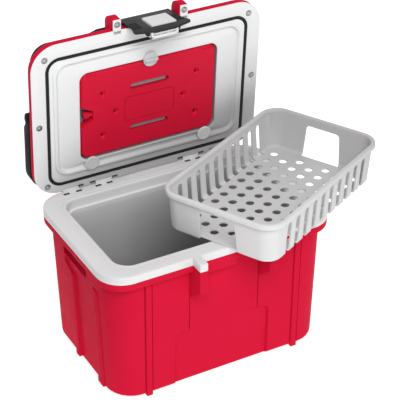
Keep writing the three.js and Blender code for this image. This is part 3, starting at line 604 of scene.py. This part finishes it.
def upper_panel():
    """The sunk strip behind the latch, with sloping sides."""
    low, high = -66.5, 66.0
    bm = prism([(low, 80.0), (high, 80.0), (high, 235.0), (low, 235.0)], -160, -120, "y")
    for v in bm.verts:
        if v.co.y > -130:
            v.co.y = -(half_depth(v.co.z) - 3.6)
            v.co.x += 8.5 if v.co.x < 0 else -8.5
        else:
            v.co.x += -3 if v.co.x < 0 else 3
            v.co.y = -(half_depth(v.co.z) + 1.2)
    return bm


def side_field(side, outline):
    """A sunk field on an end wall, between or above its ribs; the outline is convex."""
    bm = prism(outline, 0, 1, "x")
    for v in bm.verts:
        inner = v.co.x < 0.5
        z = max(v.co.z, 3.0)
        v.co.x = side * (half_width(z) + (-3.4 if inner else 9.0))
        if inner:
            v.co.y += 1.8 if v.co.y < -20 else -1.8
    bmesh.ops.recalc_face_normals(bm, faces=bm.faces)
    return bm


def pocket_box(side):
    """The housing behind a finger slot, inside the wall."""
    inner, outer = sorted((side * 183.0, side * 206.0))
    return soft_box((inner, -33, 204), (outer, 48, 231), 0)


def pocket_hole(side):
    """The shallow recess round a finger slot."""
    inner, outer = sorted((side * 203.5, side * 225.0))
    return soft_box((inner, -39, 205.5), (outer, 52, 235.5), 1.2)


def pocket_slot(side):
    """The finger slot itself."""
    inner, outer = sorted((side * 186.5, side * 225.0))
    return soft_box((inner, -30, 208.0), (outer, 45, 228.0), 2.0, 3)


def body_liner():
    rings = rings_of(OUTER, [(14, RIM_BASE), (0, RIM_BASE, 1.2), (0, RIM_TOP, 2.8), (16, RIM_TOP)], 5)
    rings += rings_of(MOUTH, [
        (-9.2, RIM_TOP), (-8.6, RIM_TOP, 0.3), (-8.3, RIM_TOP - 1.0, 0.3), (-7.3, RIM_TOP - 1.0, 0.3),
        (-6.9, RIM_TOP - 0.1, 0.4), (0, RIM_TOP - 0.1, 3.4), (0.4, 244.5, 2.0), (5, 244.0, 1.2),
        (6.5, 236, 2.0), (19, 31, 13), (28, 30.6),
    ], 5)
    rim = skin(rings, cap_first=False)
    extras = []
    for x in PRONGS_X:
        low, high = x - EAR_W / 2, x + EAR_W / 2
        extras.append(soft_box((low, -172.7, RIM_BASE), (high, -144, 263.9), 1.0, 3))
    return merged(rim, *extras, *knuckles(0, body_root))


def body_root(low, high):
    """What joins a rim knuckle to the rim."""
    return soft_box((low, 141.4, 262.0), (high, 148.6, 270.4), 0.6)


def lid_root(low, high):
    """What joins a lid knuckle to the lid's flange."""
    return soft_box((low, 134.5, 265.1), (high, 148.4, 269.4), 0.6)


def knuckles(first, root):
    """Every other knuckle of both hinge sets: 0 starts the rim's, 1 the lid's."""
    out = []
    for side in (-1, 1):
        for i in (first, first + 2):
            outer = KNUCKLE_START - i * KNUCKLE_PITCH - 0.5
            inner = KNUCKLE_START - (i + 1) * KNUCKLE_PITCH + 0.5
            low, high = sorted((side * outer, side * inner))
            out.append(rod("x", KNUCKLE_RADIUS, low, high, (0, HINGE[1], HINGE[2]), 28, 0.5))
            out.append(root(low, high))
    return out


# Faces inside a finger slot, which take the dark red as painted shade.
def in_finger_slot(p):
    return 185.5 < abs(p.x) < 203.3 and -31 < p.y < 46 and 207.5 < p.z < 228.6


# Faces inside the tub, below its lip, take the material with painted shade.
def in_tub(p):
    return p.z < 244.2


finish_piece(
    "tub_shell", body_shell(), RED, "body", STAY, ("body_shell",),
    second=(RED_PAINTED_SHADE, in_finger_slot),
)
finish_piece(
    "tub_liner", body_liner(), WHITE, "body", STAY, ("body_liner",),
    second=(TUB_INSIDE_PAINTED_SHADE, in_tub),
)


def hinge_marks(spots, low, high, face):
    """Dark pieces painted as the shadow in the gaps between the hinge's knuckles."""
    parts = []
    for side in (-1, 1):
        for x in spots:
            left, right = side * x - 5.6, side * x + 5.6
            parts.append(soft_box((left, face - 0.6, low), (right, face + 4, high), 0.4))
    return merged(*parts)


# painted shadow in the gaps of the rim's hinge knuckles
finish_piece("hinge_painted_shadow_rim", hinge_marks((163, 139, 101, 79), 263.0, 264.8, 134.8), SHADOW, "body")

# ---------------------------------------------------------------- lid


def at_t(t):
    """The height of t above the closed lid's flange plane."""
    return LID_Z + t


def slot_outline(cx, cy, w, h, n=8):
    r = h / 2
    out = []
    for i in range(n + 1):
        a = -math.pi / 2 + i / n * math.pi
        out.append((cx + w / 2 - r + r * math.cos(a), cy + r * math.sin(a)))
    for i in range(n + 1):
        a = math.pi / 2 + i / n * math.pi
        out.append((cx - w / 2 + r + r * math.cos(a), cy + r * math.sin(a)))
    return out


def lid_liner():
    rings = rings_of(OUTER, [(8, at_t(2.3)), (0, at_t(2.3), 0.7), (0, at_t(0), 1.0), (14, at_t(0))], 4)
    rings += rings_of(GASKET, [
        (-0.6, at_t(0)), (0, at_t(0), 0.3), (0.2, at_t(1.6)), (6.2, at_t(1.6)), (6.4, at_t(0), 0.3),
        (6.9, at_t(0)),
    ], 3)
    bead = (OUTER[0] - 75, OUTER[1] - 66, 30.0, 0.4)
    rings += rings_of(bead, [
        (-2.6, at_t(0)), (0.4, at_t(0), 1.2), (2.2, at_t(-3.8), 1.8), (6.6, at_t(-4.2), 1.8),
        (9.0, at_t(0.6), 1.6), (11.5, at_t(1.6), 1.5), (13.5, at_t(1.2)),
    ], 4)
    rings.append(corner_ring((PACK[0] + 34, PACK[1] + 13, 20.0, PACK_Y - 2), 0, at_t(-2.2)))
    pocket = (PACK[0] + 4.4, PACK[1] + 4.4, 16.0, PACK_Y)
    rings += rings_of(pocket, [
        (-2.5, at_t(-2.5)), (0, at_t(-2.5), 1.2), (0.4, at_t(13.8), 1.0), (20, at_t(13.8)),
    ], 4)
    flange = skin(rings, cap_first=False)
    extras = []
    for x in EARS_X:
        low, high = x - EAR_W / 2, x + EAR_W / 2
        extras.append(soft_box((low, -167.6, at_t(0)), (high, -141, at_t(2.6)), 0.7))
    pads = [prism(slot_outline(0, y, 71, 8.6), at_t(3.5), at_t(14), "z", 0.6) for y in PACK_SLOTS_Y]
    back_lip = soft_box((-64, 145, at_t(0.1)), (64, 149.4, at_t(5)), 0.8)
    return merged(flange, back_lip, *extras, *pads, *knuckles(1, lid_root))


def lid_shell():
    band = rings_of(OUTER, [
        (5.5, at_t(2.6)), (0.6, at_t(2.6), 0.6), (0.4, at_t(BAND_HEIGHT), 3.0), (14, at_t(16.6)),
    ], 4)
    rise = rings_of(ISLAND, [
        (-6, at_t(16.8)), (0.8, at_t(17.2), 3.0), (3.6, at_t(LID_TOP), 2.5), (14, at_t(38.2)),
    ], 4)
    shell = skin(band + rise, cap_first=False)
    ears = []
    for x in EARS_X:
        outline = [(-124, at_t(2.7)), (-167.6, at_t(2.7))]
        for i in range(9):
            a = math.pi - i / 8 * math.pi / 2
            y = -150.6 + EAR_ROUND * math.cos(a)
            outline.append((y, at_t(EAR_HEIGHT) - EAR_ROUND + EAR_ROUND * math.sin(a)))
        outline.append((-124, at_t(EAR_HEIGHT)))
        ears.append(prism(outline, x - EAR_W / 2, x + EAR_W / 2, "x", 0.9))
    return merged(shell, *ears)


def gasket():
    rings = rings_of(GASKET, [
        (0.2, at_t(1.2)), (0.2, at_t(-0.6), 0.9), (6.2, at_t(-0.6), 0.9), (6.2, at_t(1.2)),
    ], 4)
    return skin(rings, loop=True)


def top_pad():
    rings = rings_of(PAD, [
        (3, at_t(38.4)), (0.2, at_t(38.4), 0.8), (0.2, at_t(43), 2.0), (20, at_t(43)),
    ], 4)
    lip = [(-96, -126), (-96, -130), (-80, -135.2), (80, -135.2), (96, -130), (96, -126)]
    return merged(skin(rings), prism(lip, at_t(38.5), at_t(42.8), "z", 1.6))


# Faces of the ice pack's pocket, which take a grey as painted shade.
def in_pack_pocket(p):
    return abs(p.x) < 134 and abs(p.y - PACK_Y) < 88 and at_t(0) < p.z < at_t(14.5)


finish_piece(
    "lid_inner", lid_liner(), LID_WHITE_PAINTED_LIGHT_SHADE, "lid", OPEN_LID, ("lid_liner",),
    second=(PACK_POCKET_PAINTED_SHADE, in_pack_pocket),
)
finish_piece("lid_outer", lid_shell(), RED, "lid", OPEN_LID, ("lid_shell",))
finish_piece("lid_seal", gasket(), RUBBER, "lid", OPEN_LID, ("lid_gasket",))
finish_piece("lid_pad", top_pad(), NAVY, "lid", OPEN_LID, ("lid_top_pad",))


def lid_marks():
    """Dark pieces painted as the shadow in the gaps on the lid's side of the hinge, flat on the flange's
    face.
    """
    parts = []
    for side in (-1, 1):
        for x in (133, 110, 66):
            left, right = side * x - 5.6, side * x + 5.6
            parts.append(soft_box((left, 142.2, at_t(-0.25)), (right, 147.4, at_t(1.5)), 0.4))
    return merged(*parts)


LID_SCREWS = [(s * x, y) for s in (-1, 1) for x, y in ((195, -123), (208, 5), (196, 130))]
SCREWS = LID_SCREWS + [(x, -159) for x in EARS_X]


def screw(x, y):
    """A low round head with a dimple in its middle, in a round seat coloured dark as painted shade round
    the head.
    """
    head = lathe([
        (1.2, at_t(0.4)), (1.3, at_t(-0.5)), (2.4, at_t(-0.75)), (3.5, at_t(-0.4)), (3.7, at_t(0.3)),
        (3.7, at_t(0.8)),
    ], (x, y, 0), "z", 24)
    seat = lathe([
        (5.2, at_t(0.4)), (5.7, at_t(0.2)), (5.7, at_t(-0.12)), (5.2, at_t(-0.2)), (3.0, at_t(-0.2)),
        (3.0, at_t(0.4)),
    ], (x, y, 0), "z", 32)
    return merged(head, seat)


# The seat's faces, which take the dark colour as painted shade round the screw head.
def in_seat_painted_shade(p):
    return min(math.hypot(p.x - x, p.y - y) for x, y in SCREWS) > 3.72


for i, (x, y) in enumerate(SCREWS):
    finish_piece(
        f"screw_{i + 1}", screw(x, y), STEEL, "lid", OPEN_LID, (f"lid_screw_{i + 1}",),
        second=(DARK, in_seat_painted_shade),
    )
# painted shadow in the gaps of the lid's hinge knuckles
finish_piece("hinge_painted_shadow_lid", lid_marks(), SHADOW, "lid", OPEN_LID)

# ---------------------------------------------------------------- ice pack


DIMPLES = ((-91, -33), (-66, 8), (-91, 50), (66, 8), (91, -33), (91, 50))


def ring_groove(rect, width, low, high):
    """A closed band along a rounded rectangle, to engrave its outline."""
    return skin([
        corner_ring(rect, 0, low), corner_ring(rect, 0, high), corner_ring(rect, width, high),
        corner_ring(rect, width, low),
    ], loop=True)


def ice_pack():
    face, back = at_t(-2.6), at_t(13.2)
    rect = (PACK[0], PACK[1], 14.0, PACK_Y)
    rings = rings_of(rect, [
        (14, face), (4.2, face, 1.0), (0.2, face + 4.6, 1.4), (0, back, 2.0), (12, back),
    ], 4, 8)
    block = skin(rings)
    y = PACK_Y
    cuts = [prism(slot_outline(0, sy, 75, 12), face - 5, back + 5, "z") for sy in PACK_SLOTS_Y]
    notch = [(-140, y - 25), (-108.5, y - 9), (-108.5, y + 9), (-140, y + 25)]
    cuts.append(prism(notch, face - 5, back + 5, "z"))
    cuts.append(prism([(-13, 94), (-9, 87), (9, 87), (13, 94)], face - 5, back + 5, "z"))
    cuts.append(rod("z", 14.5, face - 5, back + 5, (0, KNOB_Y, 0), 40))
    cuts.append(ring_groove((97.0, 49.0, 9.0, 9.5), 1.7, face - 1, face + 1.2))
    for x in (-STUDS_X, STUDS_X):
        cuts.append(rod("z", 14.6, face - 5, back + 5, (x, STUDS_Y, 0), 40))
        cuts.append(soft_box((x - 9.5, -82, face - 2), (x + 9.5, -73.5, face + 2.6), 0.6))
    for x, dy in DIMPLES:
        cuts.append(lathe([
            (7.2, face - 1.0), (6.9, face + 0.2), (5.2, face + 2.6), (2.4, face + 2.9), (1.9, face + 4.4),
            (1.2, face + 4.6),
        ], (x, dy, 0), "z", 24))
    block = cut(block, *cuts)
    neck = rod("x", 4.6, -118, -106, (0, y, (face + back) / 2), 24)
    return merged(block, neck)


def in_dimple(p):
    """The bottoms of the dimples, which take a dark red as painted shade."""
    deep = p.z > at_t(-2.6) + 3.2
    near = any(math.hypot(p.x - x, p.y - y) < 3.2 for x, y in DIMPLES)
    return deep and near


def pack_cap():
    z = at_t(5.5)
    parts = [rod("x", 6.6, -125.2, -114.4, (0, PACK_Y, z), 28, 1.0)]
    for i in range(16):
        a = 2 * math.pi * i / 16
        y, dz = 6.7 * math.cos(a), 6.7 * math.sin(a)
        parts.append(rod("x", 0.55, -124.0, -115.0, (0, PACK_Y + y, z + dz), 8))
    return merged(*parts)


def knob():
    x, y = 0, KNOB_Y
    head = rod("z", 13.9, at_t(-6), at_t(-3), (x, y, 0), 48, 0.8)
    fin = soft_box((x - 12.0, y - 2.0, at_t(-10.6)), (x + 12.0, y + 2.0, at_t(-5)), 0.9, 3)
    shaft = rod("z", 4, at_t(-4), at_t(6), (x, y, 0), 24)
    return merged(head, fin, shaft)


def stud(x):
    head = lathe([
        (9.6, at_t(-5.3)), (10.2, at_t(-5.7)), (12.6, at_t(-5.6)), (13.5, at_t(-5.0)), (13.7, at_t(-4.0)),
        (13.7, at_t(-2.6)),
    ], (x, STUDS_Y, 0), "z", 40)
    return merged(head, rod("z", 4, at_t(-3), at_t(5.8), (x, STUDS_Y, 0), 20))


finish_piece(
    "pack_block", ice_pack(), PACK_RED, "pack", OPEN_LID, ("ice_pack",),
    second=(RED_PAINTED_SHADE, in_dimple),
)
finish_piece("pack_filler_cap", pack_cap(), PACK_RED, "cap", OPEN_LID, ("ice_pack_cap",))
finish_piece("knob_turn", knob(), CLIP_GREY, "knob", OPEN_LID, ("retainer_knob",))
for x, name in ((-STUDS_X, "left"), (STUDS_X, "right")):
    finish_piece(
        f"stud_{name}", stud(x), CLIP_GREY, "lid", OPEN_LID, (f"retainer_stud_{name}",),
    )

# ---------------------------------------------------------------- latch

LATCH_PLACE = OPEN_LID @ LEAN
PLATE_FACE = PIVOT[1] - 5.0
CLAW_X = LATCH_X - 1.0


def plate_z(t):
    """The height of t above the latch's pin, before the plate leans."""
    return PIVOT[2] + t


def latch_plate():
    outline = [
        (-47.5, 8), (-47.5, -21), (-46.0, -38), (-51.4, -58), (-50, -63), (-27, -70.5), (-18, -74),
        (22, -74), (31, -70.5), (53, -63), (55.0, -57), (48.5, -38), (48.0, -21), (48.0, 8),
    ]
    plate = prism([(LATCH_X + x, plate_z(t)) for x, t in outline], PLATE_FACE, PLATE_FACE + 4.0, "y", 0.9)
    window = soft_box(
        (BUTTON_X - 25, PLATE_FACE - 4, plate_z(-55)), (BUTTON_X + 25, PLATE_FACE + 8, plate_z(-13)), 0,
    )
    plate = cut(plate, window)
    parts = []
    for side in (-1, 1):
        for k in range(4):
            z = plate_z(-26 - 7 * k)
            x0 = LATCH_X + side * 30.5
            x1 = LATCH_X + side * (44.5 + 1.2 * k)
            low, high = sorted((x0, x1))
            if side > 0:
                low += 5.0
            parts.append(soft_box((low, PLATE_FACE - 1.7, z - 1.3), (high, PLATE_FACE + 0.8, z + 1.3), 0.6))
        x = LATCH_X + side * 45.5
        parts.append(prism([
            (PLATE_FACE + 2, plate_z(7)), (PLATE_FACE + 2, plate_z(-4)), (PLATE_FACE + 9, plate_z(-4)),
            (PLATE_FACE + 9, plate_z(4)),
        ], x - 2, x + 2, "x", 0.5))
    parts.append(rod("x", 4.4, LATCH_X - 42, LATCH_X + 42, (0, PIVOT[1], PIVOT[2]), 28))
    return merged(plate, *parts)


def latch_frame():
    """The pale claw behind the plate's free end: two bars between side arms."""
    low, high = plate_z(-74), plate_z(-56)
    near, far = PLATE_FACE + 3.0, PLATE_FACE + 13.5
    parts = [
        soft_box((CLAW_X - 25, far - 4.5, low), (CLAW_X + 25, far, low + 4.5), 0.6),
        soft_box((CLAW_X - 20, near + 1.5, low + 1), (CLAW_X + 25, near + 3.6, low + 4), 0.4),
    ]
    for side in (-1, 1):
        x0, x1 = sorted((CLAW_X + side * 21.5, CLAW_X + side * 25))
        parts.append(soft_box((x0, near, low), (x1, far, high), 0.5))
    for x in (-8, 7):
        parts.append(soft_box((CLAW_X + x - 1, near, low + 0.8), (CLAW_X + x + 1, far - 1, low + 3.6), 0.3))
    return merged(*parts)


def latch_brackets():
    """The dark cheeks outside the claw."""
    parts = []
    for side in (-1, 1):
        x0, x1 = sorted((CLAW_X + side * 26, CLAW_X + side * 31))
        parts.append(prism([
            (PLATE_FACE + 3, plate_z(-71)), (PLATE_FACE + 9, plate_z(-69)), (PLATE_FACE + 9, plate_z(-61)),
            (PLATE_FACE + 3, plate_z(-57)),
        ], x0, x1, "x", 0.6))
    return merged(*parts)


def latch_button():
    """The press button, rounded in towards its face."""
    levels = []
    for y, grow, r in (
        (PLATE_FACE + 3.0, 0, 2.0), (PLATE_FACE - 1.8, 0, 2.0), (PLATE_FACE - 2.9, -0.9, 1.6),
        (PLATE_FACE - 3.3, -2.2, 1.0),
    ):
        outline = corner_ring((46.6 + 2 * grow, 40.4 + 2 * grow, r), 0, 0, 5)
        levels.append([(BUTTON_X + px, y, plate_z(-34.4) + pz) for px, pz, _ in outline])
    return skin(levels)


finish_piece("latch_body", latch_plate(), DARK, "latch", LATCH_PLACE, ("latch_lever",))
finish_piece("latch_claw", latch_frame(), WHITE, "latch", LATCH_PLACE, ())
finish_piece("latch_cheeks", latch_brackets(), DARK, "latch", LATCH_PLACE, ())
finish_piece(
    "latch_push", latch_button(), WHITE, "button", LATCH_PLACE, ("latch_button",),
)
finish_piece(
    "latch_pin_rod", rod("x", 2.0, -66.5, 70.5, (0, PIVOT[1], PIVOT[2]), 24, 0.4), STEEL, "lid", OPEN_LID,
    ("latch_pin",),
)

# ---------------------------------------------------------------- handle


def handle():
    """One bar bent into a U: arms along the lid's ends and a crossbar behind it."""
    reach, corner, half = 136.0, 26.0, ARM_X
    path = [(-half, -1.0), (-half, 12.0), (-half, 24.0), (-half, reach - corner)]
    for i in range(1, 9):
        a = math.pi - i / 8 * math.pi / 2
        path.append((-half + corner + corner * math.cos(a), reach - corner + corner * math.sin(a)))
    path.append((-90.0, reach))
    path += [(-x, y) for x, y in reversed(path)]
    rings = []
    for i, (x, y) in enumerate(path):
        deep = 0.0 if y < 13 else 7.0
        a, b = path[max(i - 1, 0)], path[min(i + 1, len(path) - 1)]
        along = Vector((b[0] - a[0], b[1] - a[1])).normalized()
        across = Vector((along.y, -along.x))
        ring = []
        for u, v, _ in corner_ring((12.0, 21.6 + deep, 4.5), 0, 0, 4):
            ring.append((x + across.x * u, y + across.y * u, at_t(ARM_T) + v + deep / 2))
        rings.append(ring)
    bar = skin(rings)
    ends = [rod("x", 11.0, s * half - 6, s * half + 6, (0, 0, at_t(ARM_T)), 40, 1.4) for s in (-1, 1)]
    return merged(bar, *ends)


finish_piece("handle_bar", handle(), BLACK, "handle", OPEN_LID, ("handle_bail",))
for side, name in ((-1, "left"), (1, "right")):
    low, high = sorted((side * 209.0, side * 220.6))
    boss = rod("x", 7.4, low, high, (0, 0, at_t(ARM_T)), 32, 1.0)
    finish_piece(
        f"handle_boss_{name}", boss, BLACK, "lid", OPEN_LID, (f"handle_pivot_{name}",),
    )

# ---------------------------------------------------------------- tray


def tray():
    outer = (343.4, 213.0, 28.0)
    lip = (365.4, 231.0, 36.0)
    rings = [corner_ring(outer, 17, 0)]
    for a in (0.5, 0.9, 1.25, math.pi / 2):
        rings.append(corner_ring(outer, 5.5 * (1 - math.sin(a)), 5.5 * (1 - math.cos(a))))
    rings.append(corner_ring((353.4, 221.0, 31.0), 0, 68.6))
    rings += rings_of(lip, [(5.0, 69.0), (0, 69.0, 0.8), (0, 78.0, 2.6), (7.6, 78.0, 2.6), (8.4, 72.0)], 4)
    rings += rings_of((337.6, 207.2, 23.0), [(-5.3, 70.0), (0, 2.4, 5.0), (30, 2.4)], 4)
    solid = skin(rings)
    cuts = []
    for i in range(TRAY_SLOTS):
        x = TRAY_SLOT_PITCH * (i - (TRAY_SLOTS - 1) / 2)
        for side in (-1, 1):
            low, high = sorted((side * 96.0, side * 120.0))
            cuts.append(prism(slot_up(x, 6.5, 6.6, 61.5), low, high, "y"))
            low, high = sorted((side * 97.5, side * 120.0))
            cuts.append(soft_box((x - 6.4, low, -2), (x + 6.4, high, 12), 0))
    for side in (-1, 1):
        low, high = sorted((side * 164.0, side * 190.0))
        cuts.append(prism(window_outline(38.5, 34.5, 61.5, 8.0), low, high, "x"))
    for row in range(HOLE_ROWS):
        across = HOLE_COLUMNS - row % 2
        for col in range(across):
            spot = (HOLE_PITCH_X * (col - (across - 1) / 2), HOLE_PITCH_Y * (row - 3), 0)
            cuts.append(rod("z", HOLE_RADIUS, -3, 6, spot, 28))
    return cut(solid, *cuts)


def window_outline(low_half, high_half, high, r, n=6):
    """A grip window's outline, from below the floor up: narrower and rounded at its top."""
    out = [(-low_half, -3.0), (low_half, -3.0)]
    for i in range(n + 1):
        a = i / n * math.pi / 2
        out.append((high_half - r + r * math.cos(a), high - r + r * math.sin(a)))
    return out + [(-y, z) for y, z in reversed(out[2:])]


def slot_up(x, half, low, high, n=6):
    """A slot's outline with a round top."""
    out = [(x - half, low), (x + half, low)]
    for i in range(n + 1):
        a = i / n * math.pi
        out.append((x + half * math.cos(a), high - half + half * math.sin(a)))
    return out


finish_piece("tray_basket", tray(), TRAY_GREY_PAINTED_SHADE, "tray", TRAY_PLACE, ("tray",))

# ---------------------------------------------------------------- CAD pieces shown as they are

for name, material in (
    ("body_foam", FOAM), ("lid_foam", FOAM), ("hinge_pin_left", STEEL), ("hinge_pin_right", STEEL),
):
    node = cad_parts[name]
    node.data.materials.clear()
    node.data.materials.append(material)

# ---------------------------------------------------------------- floor and light


def floor_material():
    mat = bpy.data.materials.new("floor_pale")
    mat.use_nodes = True
    tree = mat.node_tree
    shader = tree.nodes["Principled BSDF"]
    noise = tree.nodes.new("ShaderNodeTexNoise")
    noise.inputs["Scale"].default_value = 3.0
    ramp = tree.nodes.new("ShaderNodeMapRange")
    ramp.inputs["To Min"].default_value = 0.55
    ramp.inputs["To Max"].default_value = 0.6
    tree.links.new(noise.outputs["Fac"], ramp.inputs["Value"])
    tree.links.new(ramp.outputs["Result"], shader.inputs["Roughness"])
    shader.inputs["Base Color"].default_value = (0.62, 0.62, 0.62, 1.0)
    shader.inputs["Emission Color"].default_value = (1.0, 1.0, 1.0, 1.0)
    shader.inputs["Emission Strength"].default_value = 0.72
    return mat


def floor():
    """A floor that curves up into a backdrop."""
    profile = [(-6.0, 0.0), (3.0, 0.0)]
    for i in range(1, 13):
        a = i / 12 * math.pi / 2
        profile.append((3.0 + 1.5 * math.sin(a), 1.5 * (1 - math.cos(a))))
    profile.append((4.5, 6.0))
    rings = [[(x, y, z) for x in (-8.0, 8.0)] for y, z in profile]
    bm = skin(rings, False, False, around=False)
    obj = plain_object(bm, "floor")
    obj.data.materials.append(floor_material())
    obj.data.shade_smooth()


def area_light(name, at, to, size, power, colour=(1.0, 1.0, 1.0)):
    light = bpy.data.lights.new(name, "AREA")
    light.shape = "RECTANGLE"
    light.size, light.size_y = size
    light.energy = power
    light.color = colour
    obj = bpy.data.objects.new(name, light)
    obj.location = at
    obj.rotation_euler = (Vector(to) - Vector(at)).to_track_quat("-Z", "Y").to_euler()
    bpy.context.collection.objects.link(obj)


def dark_card():
    """A dark card beside the left end wall, hidden from the camera, that keeps light off that wall."""
    mat = bpy.data.materials.new("card_dark")
    mat.use_nodes = True
    shader = mat.node_tree.nodes["Principled BSDF"]
    shader.inputs["Base Color"].default_value = (0.03, 0.03, 0.03, 1.0)
    shader.inputs["Roughness"].default_value = 0.9
    bm = soft_box((-0.66, -0.6, 0.0), (-0.64, 0.6, 0.25), 0.004)
    obj = plain_object(bm, "card")
    obj.data.materials.append(mat)
    obj.visible_camera = False


floor()
world = bpy.data.worlds.new("studio")
world.use_nodes = True
world.node_tree.nodes["Background"].inputs["Color"].default_value = (1.0, 1.0, 1.0, 1.0)
world.node_tree.nodes["Background"].inputs["Strength"].default_value = 0.36
scene.world = world
area_light("key", (-0.6, -2.0, 2.6), (0.0, 0.0, 0.3), (1.8, 1.4), 66)
dark_card()
